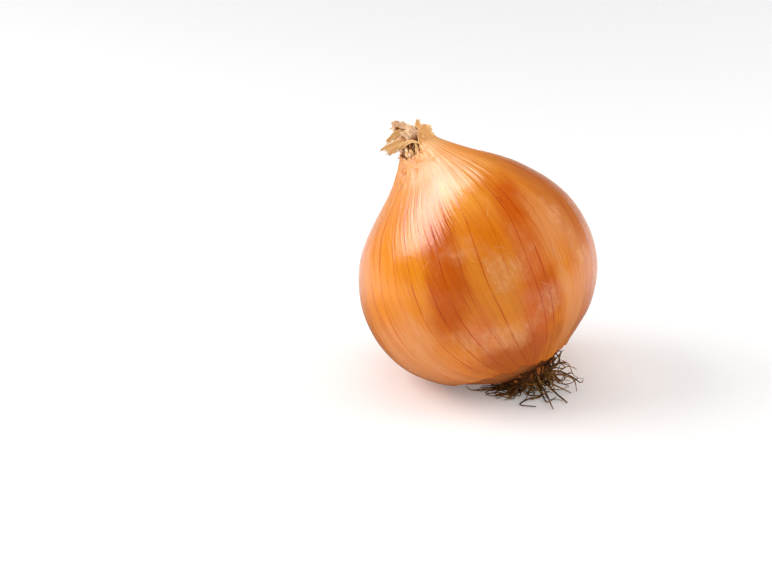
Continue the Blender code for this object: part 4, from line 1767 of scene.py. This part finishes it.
@dataclass(frozen=True)
class OuterSkinFinish:
    """The glossy golden brown skin with its red veins, fibres and scuffs."""

    ochre: Colour = (0.76, 0.215, 0.012)
    orange: Colour = (0.82, 0.25, 0.02)
    burnt: Colour = (0.58, 0.10, 0.002)
    blush: Colour = (0.87, 0.31, 0.018)
    straw: Colour = (0.88, 0.31, 0.05)
    dry: Colour = (0.92, 0.50, 0.18)
    vein: Colour = (0.70, 0.19, 0.12)
    scuff: Colour = (0.89, 0.44, 0.19)
    pleat: Colour = (0.94, 0.43, 0.12)
    neck_from: float = 90.0
    neck_to: float = 116.0
    dry_from: float = 112.0
    dry_to: float = 120.0
    dry_share: float = 0.8
    straw_share: float = 0.8
    scuff_share: float = 0.66
    mottle_share: float = 0.08
    speckle_share: float = 0.12
    halo_share: float = 0.06
    branch_share: float = 0.35
    faint_share: float = 0.6
    scratch_share: float = 0.4
    relief: float = 0.25 * MM
    cracked: Band = Band(-128, 34, 106, 126, 3, (0.50, 0.16, 0.035), 0.8)
    bands: tuple[Band, ...] = (
        Band(-140, 26, 60, 106, 10, (0.89, 0.28, 0.010), 0.9),
        # Peach low on the left: the skin's own peach, with its blue raised as a painted reflection of the
        # pale floor.
        Band(-148, 34, 26, 60, 10, (0.89, 0.35, 0.120), 0.9),
        Band(-125, 16, 24, 50, 10, (0.84, 0.25, 0.030), 0.7),
        Band(-121, 12, 56, 76, 7, (0.83, 0.26, 0.008), 0.8),
        Band(-107, 13, 47, 84, 8, (0.58, 0.098, 0.001), 1.0, 0.55),
        Band(-104, 12, 30, 48, 6, (0.79, 0.19, 0.055), 0.8),
        Band(-80, 13, 62, 77, 7, (0.76, 0.185, 0.002), 0.9),
        Band(-87, 12, 40, 62, 8, (0.80, 0.25, 0.020), 0.8),
        Band(-93, 12, 26, 42, 6, (0.87, 0.29, 0.060), 0.8),
        Band(-58, 12, 66, 86, 7, (0.62, 0.095, 0.002), 0.95, 0.5),
        Band(-71, 12, 22, 68, 8, (0.70, 0.140, 0.028), 0.9, 0.4),
        Band(-46, 13, 54, 80, 8, (0.80, 0.28, 0.070), 0.9, 0.3),
        Band(-26, 14, 52, 96, 8, (0.60, 0.14, 0.006), 0.85),
        Band(-20, 16, 22, 56, 9, (0.72, 0.20, 0.060), 0.85),
        Band(-44, 14, 22, 42, 7, (0.83, 0.33, 0.110), 0.8),
        Band(-64, 10, 36, 52, 6, (0.58, 0.095, 0.006), 0.9),
        Band(-95, 42, 8, 34, 5, (0.46, 0.080, 0.008), 0.8),
        # The next two bands are painted light: the light stretch right of the highlight is its dim edge,
        # and the one by the neck paints more light on the upper right.
        Band(-78, 14, 81, 98, 5, (0.94, 0.35, 0.030), 0.8),
        Band(-56, 22, 92, 114, 6, (0.97, 0.38, 0.050), 0.8),
    )
    scuffs: tuple[Scuff, ...] = (
        Scuff(-92, 70, 14, 5, 0.90),
        Scuff(-80, 58, 9, 10, 0.85),
        Scuff(-68, 62, 7, 9, 0.60),
        Scuff(-53, 52, 4, 10, 0.55),
        Scuff(-37, 58, 8, 15, 1.00),
        Scuff(-66, 40, 9, 7, 0.75),
        Scuff(-90, 36, 12, 7, 0.80),
        Scuff(-108, 40, 18, 8, 0.65),
        Scuff(-106, 70, 5, 6, 0.50),
        Scuff(-136, 46, 14, 12, 0.40),
        Scuff(-160, 45, 10, 10, 0.45),
        Scuff(-22, 44, 9, 10, 0.60),
        Scuff(40, 60, 14, 12, 0.50),
        Scuff(110, 52, 12, 14, 0.45),
        Scuff(165, 68, 10, 9, 0.40),
    )

    def fibrous(self, graph: Graph, stripe: Socket, thread: Socket, pleat: Socket, neck: Socket) -> Socket:
        """Mixes the skin's colours: the bands, the fibres and the pale pleats by the neck. Some bands are
        painted light, as marked in the list.

        Args:
            graph: The material's graph.
            stripe: The broad fibres.
            thread: The fine fibres.
            pleat: The pleats.
            neck: 0 on the bulb, 1 at the neck.

        Returns:
            The colour.
        """
        broad = graph.place("Fibre grain", Across=0.055, Along=0.014, Detail=3.0, Shift=2.0)[0]
        colour = graph.mix(graph.between(broad, 0.35, 0.65), self.ochre, self.orange)
        for band in self.bands:
            colour = graph.mix(graph.math("MULTIPLY", band.mask(graph), band.strength), colour, band.colour)
        calm = graph.between(neck, 0.0, 1.0, 1.0, 0.3)
        deeper = graph.math("MULTIPLY", graph.between(stripe, 0.52, 0.78, 0.0, 0.3), calm)
        lighter = graph.math("MULTIPLY", graph.between(stripe, 0.24, 0.46, 0.35, 0.0), calm)
        colour = graph.mix(deeper, colour, self.burnt)
        colour = graph.mix(lighter, colour, self.orange)
        colour = graph.mix(graph.math("MULTIPLY", neck, self.straw_share), colour, self.straw)
        at_neck = graph.between(neck, 0.0, 1.0, 0.0, 0.5)
        pale = graph.math("MULTIPLY", graph.between(pleat, 0.5, 0.66), at_neck)
        colour = graph.mix(pale, colour, self.pleat)
        fine_valley = graph.math("MULTIPLY", graph.between(thread, 0.3, 0.5, 0.2, 0.0), calm)
        valley = graph.math("MULTIPLY", graph.between(pleat, 0.34, 0.48, 0.2, 0.0), calm)
        colour = graph.mix(fine_valley, colour, self.burnt)
        colour = graph.mix(valley, colour, self.burnt)
        return graph.mix(graph.between(thread, 0.55, 0.75, 0.0, 0.12), colour, self.blush)

    def worn(self, graph: Graph) -> Socket:
        """Works out where the skin is rubbed: the scuffs, broken up by grain and streaks.

        Args:
            graph: The material's graph.

        Returns:
            1 where it is rubbed most.
        """
        cloud = graph.place("Worn patches", Scale=110.0, Cover=0.62, Edge=0.34, Shift=0.37)[0]
        grain = graph.place("Worn patches", Scale=760.0, Cover=0.60, Edge=0.28, Shift=0.61)[0]
        streak = graph.place("Fibre grain", Across=0.7, Along=0.3, Detail=4.0, Shift=26.0)[0]
        grainy = graph.between(grain, 0.0, 1.0, 0.7, 1.0)
        broken = graph.math("MULTIPLY", grainy, graph.between(streak, 0.34, 0.64, 0.45, 1.0))
        worn = 0.0
        for scuff in self.scuffs:
            rubbed = graph.math("MULTIPLY", scuff.mask(graph, cloud), scuff.strength)
            worn = graph.math("MAXIMUM", worn, rubbed)
        return graph.math("MULTIPLY", worn, broken)

    def weathered(self, graph: Graph, colour: Socket, worn: Socket) -> Socket:
        """Adds the scuffs, the mottling and the fine specks.

        Args:
            graph: The material's graph.
            colour: The colour so far.
            worn: Where the skin is rubbed.

        Returns:
            The colour.
        """
        mottle = graph.place("Worn patches", Scale=240.0, Cover=0.52, Edge=0.3, Shift=0.73)[0]
        speckle = graph.place("Worn patches", Scale=1300.0, Cover=0.5, Edge=0.22, Shift=0.29)[0]
        colour = graph.mix(graph.math("MULTIPLY", worn, self.scuff_share), colour, self.scuff)
        colour = graph.mix(graph.math("MULTIPLY", mottle, self.mottle_share), colour, self.blush)
        return graph.mix(graph.math("MULTIPLY", speckle, self.speckle_share), colour, self.blush)

    def veined(self, graph: Graph, colour: Socket, veins: bpy.types.NodeOutputs, neck: Socket) -> Socket:
        """Adds the veins, their branches and the scratches across them.

        Args:
            graph: The material's graph.
            colour: The colour so far.
            veins: The strong veins and their halos.
            neck: 0 on the bulb, 1 at the neck.

        Returns:
            The colour.
        """
        faint = graph.place("Meridian veins", Count=59.0, Width=0.13, Sway=0.35, Faintest=0.1, Shift=8.0)
        branch = graph.place("Branch veins", Scale=0.12, Width=0.02, Cover=0.5)[0]
        fading = graph.between(neck, 0.0, 0.5, 1.0, 0.08)
        colour = graph.mix(graph.math("MULTIPLY", veins[1], self.halo_share), colour, self.burnt)
        colour = graph.mix(graph.math("MULTIPLY", branch, self.branch_share), colour, self.vein, "MULTIPLY")
        faintly = graph.math("MULTIPLY", graph.math("MULTIPLY", faint[0], self.faint_share), fading)
        colour = graph.mix(faintly, colour, self.vein, "MULTIPLY")
        colour = graph.mix(graph.math("MULTIPLY", veins[0], fading), colour, self.vein, "MULTIPLY")
        scratch = graph.place("Fine scratches", Scale=150.0, Width=0.02, Cover=0.35)[0]
        return graph.mix(graph.math("MULTIPLY", scratch, self.scratch_share), colour, self.scuff)

    def dried(self, graph: Graph, colour: Socket, along: Socket) -> Socket:
        """Turns the skin's end at the neck to pitted straw.

        Args:
            graph: The material's graph.
            colour: The colour so far.
            along: The way along the skin, in millimetres.

        Returns:
            The colour.
        """
        pores = graph.place("Fibre grain", Across=3.2, Along=1.3, Detail=2.0, Shift=21.0)[0]
        straws = graph.between(along, self.dry_from, self.dry_to)
        colour = graph.mix(graph.math("MULTIPLY", straws, self.dry_share), colour, self.dry)
        pitted = graph.math("MULTIPLY", straws, graph.between(pores, 0.3, 0.5, 0.6, 0.0))
        return graph.mix(pitted, colour, self.burnt)

    def build(self) -> bpy.types.Material:
        """Makes the material.

        Returns:
            The material.
        """
        made, graph, shader = new_material("golden_brown_skin")
        along = graph.split(graph.attribute("fibre"))[2]
        stripe = graph.place("Fibre grain", Across=0.34, Along=0.012, Detail=4.0, Shift=9.0)[0]
        thread = graph.place("Fibre grain", Across=1.5, Along=0.035, Detail=4.0, Shift=5.0)[0]
        speck = graph.place("Fibre grain", Across=1.6, Along=1.1, Detail=3.0, Shift=14.0)[0]
        pleat = graph.place("Fibre grain", Across=0.85, Along=0.02, Detail=2.0, Shift=17.0)[0]
        crinkle = graph.place("Fibre grain", Across=0.22, Along=0.42, Detail=4.0, Shift=44.0)[0]
        veins = graph.place("Meridian veins", Count=38.0, Width=0.24, Sway=0.22, Faintest=0.5, Shift=3.0)
        neck = graph.between(along, self.neck_from, self.neck_to)
        worn = self.worn(graph)
        colour = self.fibrous(graph, stripe, thread, pleat, neck)
        colour = self.weathered(graph, colour, worn)
        colour = self.veined(graph, colour, veins, neck)
        colour = self.dried(graph, colour, along)
        beside = self.cracked.mask(graph)
        crack = graph.math("MULTIPLY", graph.between(crinkle, 0.38, 0.50, 1.0, 0.0), beside)
        cracks = graph.math("MULTIPLY", crack, self.cracked.strength)
        graph.feed(graph.mix(cracks, colour, self.cracked.colour), shader["Base Color"])
        rough = graph.between(thread, 0.3, 0.7, 0.10, 0.16)
        rough = graph.math("ADD", rough, graph.between(stripe, 0.35, 0.65, 0.0, 0.07))
        rough = graph.math("ADD", rough, graph.math("MULTIPLY", worn, 0.22))
        rough = graph.math("ADD", rough, graph.math("MULTIPLY", neck, 0.22))
        graph.feed(rough, shader["Roughness"])
        shader["Specular IOR Level"].default_value = 0.5
        gather = graph.math("MULTIPLY", stripe, graph.between(neck, 0.0, 0.8, 1.2, 0.1))
        folds = graph.math("MULTIPLY", pleat, graph.between(neck, 0.0, 1.0, 0.3, 0.5))
        height = graph.math("ADD", graph.math("ADD", gather, folds), graph.math("MULTIPLY", thread, 0.4))
        height = graph.math("ADD", height, graph.math("MULTIPLY", speck, 0.24))
        height = graph.math("ADD", height, graph.math("MULTIPLY", veins[0], 0.08))
        crinkled = graph.math("MULTIPLY", crinkle, beside)
        height = graph.math("ADD", height, graph.math("MULTIPLY", crinkled, 2.6))
        add_bump(graph, height, self.relief, 1.0, shader)
        return made


@dataclass(frozen=True)
class UnderSkinFinish:
    """The duller, rougher skin under the torn edge. Its colours are kept darker than its own, as painted
    shade low under the bulb.
    """

    brown: Colour = (0.36, 0.088, 0.012)
    dark: Colour = (0.09, 0.022, 0.005)
    pale: Colour = (0.50, 0.155, 0.032)
    # Darker at the front right above the roots: partly the crust, partly painted shade under the roots.
    crust: Band = Band(-40, 50, 0, 30, 4, (0.09, 0.022, 0.005), 0.75)
    cloud_share: float = 0.35
    relief: float = 0.25 * MM

    def build(self) -> bpy.types.Material:
        """Makes the material.

        Returns:
            The material.
        """
        made, graph, shader = new_material("dull_under_skin")
        along = graph.split(graph.attribute("fibre"))[2]
        thread = graph.place("Fibre grain", Across=1.1, Along=0.08, Detail=4.0, Shift=3.0)[0]
        cloud = graph.place("Worn patches", Scale=160.0, Cover=0.5, Edge=0.3, Shift=0.5)[0]
        colour = graph.mix(graph.between(thread, 0.35, 0.65), self.brown, self.pale)
        colour = graph.mix(graph.math("MULTIPLY", cloud, self.cloud_share), colour, self.dark)
        # Darker towards the root end: partly the crust, partly painted shade.
        colour = graph.mix(graph.between(along, 8.0, 15.0, 1.0, 0.0), colour, self.dark)
        crust_and_shade = graph.math("MULTIPLY", self.crust.mask(graph), self.crust.strength)
        colour = graph.mix(crust_and_shade, colour, self.crust.colour)
        graph.feed(colour, shader["Base Color"])
        graph.feed(graph.between(thread, 0.2, 0.8, 0.5, 0.68), shader["Roughness"])
        shader["Specular IOR Level"].default_value = 0.2
        add_bump(graph, thread, self.relief, 0.8, shader)
        return made


@dataclass(frozen=True)
class StrawFinish:
    """The dry, fibrous leaf ends, from pale straw to peach to dark brown by each piece's tone."""

    name: str
    straw: Colour = (0.97, 0.59, 0.25)
    peach: Colour = (0.99, 0.67, 0.42)
    dark: Colour = (0.26, 0.085, 0.02)
    stain: Colour = (0.30, 0.10, 0.02)
    pale: Colour = (0.99, 0.77, 0.50)
    blotch_share: float = 0.12
    relief: float = 0.3 * MM

    def build(self) -> bpy.types.Material:
        """Makes the material.

        Returns:
            The material.
        """
        made, graph, shader = new_material(self.name)
        girth = graph.split(graph.attribute("girth"))
        thread = graph.place("Fibre grain", Across=2.6, Along=0.16, Detail=4.0, Shift=1.0)[0]
        fine = graph.place("Fibre grain", Across=6.0, Along=0.5, Detail=3.0, Shift=6.0)[0]
        blotch = graph.place("Worn patches", Scale=330.0, Cover=0.5, Edge=0.25, Shift=0.9)[0]
        colour = graph.mix(graph.between(girth[2], 0.0, 1.0), self.straw, self.peach)
        colour = graph.mix(graph.between(girth[2], 1.0, 2.0), colour, self.dark)
        colour = graph.mix(graph.between(thread, 0.52, 0.75, 0.0, 0.5), colour, self.pale)
        colour = graph.mix(graph.between(thread, 0.28, 0.45, 0.4, 0.0), colour, self.stain)
        colour = graph.mix(graph.math("MULTIPLY", blotch, self.blotch_share), colour, self.stain)
        graph.feed(colour, shader["Base Color"])
        graph.feed(graph.between(fine, 0.3, 0.7, 0.62, 0.85), shader["Roughness"])
        shader["Specular IOR Level"].default_value = 0.15
        height = graph.math("ADD", thread, graph.math("MULTIPLY", fine, 0.5))
        add_bump(graph, height, self.relief, 0.9, shader)
        return made


@dataclass(frozen=True)
class RootFinish:
    """Dry root bark in one colour, with darker and paler stretches."""

    name: str
    colour: Colour
    dark: Colour
    pale: Colour
    relief: float = 0.2 * MM

    def build(self) -> bpy.types.Material:
        """Makes the material.

        Returns:
            The material.
        """
        made, graph, shader = new_material(self.name)
        place = graph.add("ShaderNodeTexCoord").outputs["Object"]
        stretch = graph.noise(place, 260.0, 3.0)
        bark = graph.noise(place, 2200.0, 3.0)
        colour = graph.mix(graph.between(stretch, 0.5, 0.66), self.colour, self.pale)
        colour = graph.mix(graph.between(stretch, 0.34, 0.48, 0.9, 0.0), colour, self.dark)
        colour = graph.mix(graph.between(bark, 0.35, 0.6, 0.5, 0.0), colour, self.dark)
        graph.feed(colour, shader["Base Color"])
        graph.feed(graph.between(bark, 0.3, 0.7, 0.7, 0.9), shader["Roughness"])
        shader["Specular IOR Level"].default_value = 0.15
        add_bump(graph, bark, self.relief, 0.8, shader)
        return made


@dataclass(frozen=True)
class FloorFinish:
    """A pale floor that glows a little as painted light, brightest far off where the camera sees it. In the
    onion's mirrors it shows a painted reflection, dimmer next to the onion, and it bounces less light than
    its colour. Distances in metres.
    """

    colour: Colour = (0.90, 0.90, 0.90)
    darker_share: float = 0.985
    mirrored_near: Colour = (0.12, 0.12, 0.12)
    mirrored_far: Colour = (1.0, 1.0, 1.0)
    near: float = 0.05
    far: float = 0.20
    front_dimming: float = 0.8
    bounce_dimming: float = 0.08
    pale_from: float = 0.25
    pale_to: float = 1.5
    roughness: float = 0.9
    glow: float = 0.17
    near_glow: Colour = (1.0, 1.0, 1.0)
    far_glow: Colour = (5.0, 5.0, 5.0)
    mirrored_glow: Colour = (0.3, 0.3, 0.3)

    def build(self) -> bpy.types.Material:
        """Makes the material.

        Returns:
            The material.
        """
        made, graph, shader = new_material("pale_floor")
        place = graph.add("ShaderNodeTexCoord").outputs["Object"]
        shade = graph.noise(place, 3.0, 2.0)
        darker = tuple(part * self.darker_share for part in self.colour)
        ray = graph.add("ShaderNodeLightPath").outputs
        in_mirror = ray["Is Glossy Ray"]
        distance = graph.vector("LENGTH", place).outputs["Value"]
        behind = graph.math("MULTIPLY", graph.split(place)[1], self.front_dimming)
        away = graph.between(graph.math("ADD", distance, behind), self.near, self.far)
        mirrored = graph.mix(away, self.mirrored_near, self.mirrored_far)
        bounced = graph.math("MULTIPLY", ray["Is Diffuse Ray"], self.bounce_dimming)
        lit = graph.mix(bounced, graph.mix(shade, self.colour, darker), (0.0, 0.0, 0.0))
        colour = graph.mix(in_mirror, lit, mirrored)
        graph.feed(colour, shader["Base Color"])
        shader["Roughness"].default_value = self.roughness
        shader["Specular IOR Level"].default_value = 0.2
        far_off = graph.between(distance, self.pale_from, self.pale_to)
        far_off = graph.math("MULTIPLY", far_off, ray["Is Camera Ray"])
        glow = graph.mix(in_mirror, graph.mix(far_off, self.near_glow, self.far_glow), self.mirrored_glow)
        graph.feed(glow, shader["Emission Color"])
        shader["Emission Strength"].default_value = self.glow
        return made


class LightUse(Enum):
    """What a light does: it lights the surfaces, or shows in glossy ones."""

    LIGHTS = (True, False)
    SHOWS = (False, True)


@dataclass(frozen=True)
class Softbox:
    """A soft light: where it stands from the bulb's middle, how it lies, its size and its strength."""

    name: str
    way: Point
    edge: Point
    distance: float
    size: tuple[float, float]
    power: float
    use: LightUse

    def build(self, target: Vector) -> bpy.types.Object:
        """Sets the light up.

        Args:
            target: The point that it faces.

        Returns:
            The light.
        """
        way = Vector(self.way).normalized()
        across = Vector(self.edge)
        across = (across - across.dot(way) * way).normalized()
        bpy.ops.object.light_add(type="AREA", location=target + way * self.distance)
        light = bpy.context.active_object
        light.name = self.name
        light.rotation_euler = Matrix((across, way.cross(across), way)).transposed().to_euler()
        light.data.shape = "RECTANGLE"
        light.data.size, light.data.size_y = self.size
        light.data.energy = self.power
        light.visible_diffuse, light.visible_glossy = self.use.value
        light.visible_camera = False
        return light


# Which way the first side of the two lights that show at the bulb's left runs.
SHEEN_EDGE: Point = (0.37, -0.61, 0.70)


@dataclass
class Studio:
    """The camera at the photograph's angle, the soft lights, the world and the floor."""

    form: BulbForm
    elevation_deg: float = 22.0
    lens: float = 100.0
    sensor: float = 36.0
    image_width: int = 772
    image_height: int = 579
    bulb_pixel: tuple[float, float] = (476.7, 272.7)
    pixel_size: float = 0.3318 * MM
    floor_size: float = 6.0
    world_strength: float = 0.12
    world_mirrored: float = 0.03
    lights: tuple[Softbox, ...] = (
        Softbox("key_sheen", (-0.620, 0.278, 0.738), SHEEN_EDGE, 0.62, (0.40, 0.86), 10.0, LightUse.SHOWS),
        Softbox("left_sheen", (-0.647, 0.730, 0.222), SHEEN_EDGE, 0.75, (0.50, 0.35), 0.12, LightUse.SHOWS),
        Softbox("key_light", (-0.80, 0.0, 0.60), (0, 1, 0), 0.80, (0.60, 0.60), 4.9, LightUse.LIGHTS),
        Softbox("right_sheen", (0.90, 0.25, 0.30), (0, 1, 0), 0.75, (0.50, 0.60), 0.25, LightUse.SHOWS),
        Softbox("back_sheen", (0.8, 1.0, 0.3), (1, -0.8, 0), 1.0, (1.2, 0.9), 0.5, LightUse.SHOWS),
        Softbox("right_light", (0.90, 0.10, 0.40), (0, 1, 0), 0.80, (0.60, 0.60), 3.3, LightUse.LIGHTS),
        Softbox("front_light", (0.0, -1.0, 0.5), (1, 0, 0), 1.2, (1.0, 1.0), 4.4, LightUse.LIGHTS),
        Softbox("top_light", (0.0, 0.1, 1.0), (1, 0, 0), 1.1, (0.9, 0.9), 3.8, LightUse.LIGHTS),
    )

    def camera(self) -> bpy.types.Object:
        """Sets the camera up so that the bulb's middle falls on its pixel.

        Returns:
            The camera.
        """
        up_angle = math.radians(self.elevation_deg)
        ahead = Vector((0, math.cos(up_angle), -math.sin(up_angle)))
        right = Vector((1, 0, 0))
        above = right.cross(ahead)
        distance = self.image_width * self.lens / self.sensor * self.pixel_size
        aside = (self.bulb_pixel[0] - self.image_width / 2) * self.pixel_size
        raised = (self.image_height / 2 - self.bulb_pixel[1]) * self.pixel_size
        place = self.form.placement.translation - ahead * distance - right * aside - above * raised
        bpy.ops.object.camera_add(location=place, rotation=(math.pi / 2 - up_angle, 0, 0))
        camera = bpy.context.active_object
        camera.name = "camera"
        camera.data.lens = self.lens
        camera.data.sensor_width = self.sensor
        camera.data.dof.use_dof = False
        bpy.context.scene.camera = camera
        return camera

    def floor(self) -> bpy.types.Object:
        """Lays the floor.

        Returns:
            The floor.
        """
        bpy.ops.mesh.primitive_plane_add(size=self.floor_size, location=(0, 0, 0))
        floor = bpy.context.active_object
        floor.name = "floor"
        floor.data.materials.append(FloorFinish().build())
        return floor

    def world(self) -> None:
        """Makes the world: white behind the onion, dim as a light, dimmest where the onion mirrors it."""
        world = bpy.data.worlds.new("pale_room")
        world.use_nodes = True
        graph = Graph(world.node_tree)
        output = graph.add("ShaderNodeOutputWorld")
        sky = graph.add("ShaderNodeBackground")
        ray = graph.add("ShaderNodeLightPath").outputs
        graph.feed((1.0, 1.0, 1.0, 1.0), sky.inputs["Color"])
        strength = graph.between(ray["Is Glossy Ray"], 0.0, 1.0, self.world_strength, self.world_mirrored)
        graph.feed(graph.math("MAXIMUM", strength, ray["Is Camera Ray"]), sky.inputs["Strength"])
        graph.feed(sky.outputs[0], output.inputs["Surface"])
        bpy.context.scene.world = world

    def build(self) -> None:
        """Sets up the whole studio."""
        self.camera()
        self.floor()
        self.world()
        for light in self.lights:
            light.build(self.form.placement.translation)
        bpy.context.scene.view_settings.view_transform = "Standard"


CRUST_FINISH = StrawFinish(
    "root_crust",
    straw=(0.24, 0.080, 0.018),
    peach=(0.36, 0.100, 0.020),
    dark=(0.10, 0.034, 0.008),
    stain=(0.035, 0.013, 0.004),
    pale=(0.40, 0.17, 0.05),
)
ROOT_FINISHES = {
    RootHue.DARK.value: RootFinish(
        "dark_root",
        colour=(0.15, 0.058, 0.013),
        dark=(0.045, 0.016, 0.004),
        pale=(0.28, 0.12, 0.030),
    ),
    RootHue.BROWN.value: RootFinish(
        "brown_root",
        colour=(0.26, 0.105, 0.024),
        dark=(0.08, 0.028, 0.007),
        pale=(0.42, 0.20, 0.06),
    ),
    RootHue.TAN.value: RootFinish(
        "tan_root",
        colour=(0.36, 0.19, 0.065),
        dark=(0.11, 0.05, 0.016),
        pale=(0.52, 0.32, 0.13),
    ),
}


def main() -> None:
    """Builds the onion's pieces in order, gives each its finish, and sets up the studio."""
    logging.basicConfig(level=logging.INFO, format="%(message)s")
    for make_group in GROUP_MAKERS:
        make_group()
    form = BulbForm()
    outer, under = BulbSkins(form).build()
    finish_piece(outer, "bulb", OuterSkinFinish().build())
    finish_piece(under, "bulb", UnderSkinFinish().build())
    straw = StrawFinish("dry_straw").build()
    for piece in NeckHusk(form).build():
        finish_piece(piece, "neck_husk", straw)
    crust = CRUST_FINISH.build()
    barks = {name: finish.build() for name, finish in ROOT_FINISHES.items()}
    for name, piece in RootTuft(form).build().items():
        finish_piece(piece, "root_tuft", barks.get(name, crust))
    Studio(form).build()


if __name__ == "__main__":
    main()
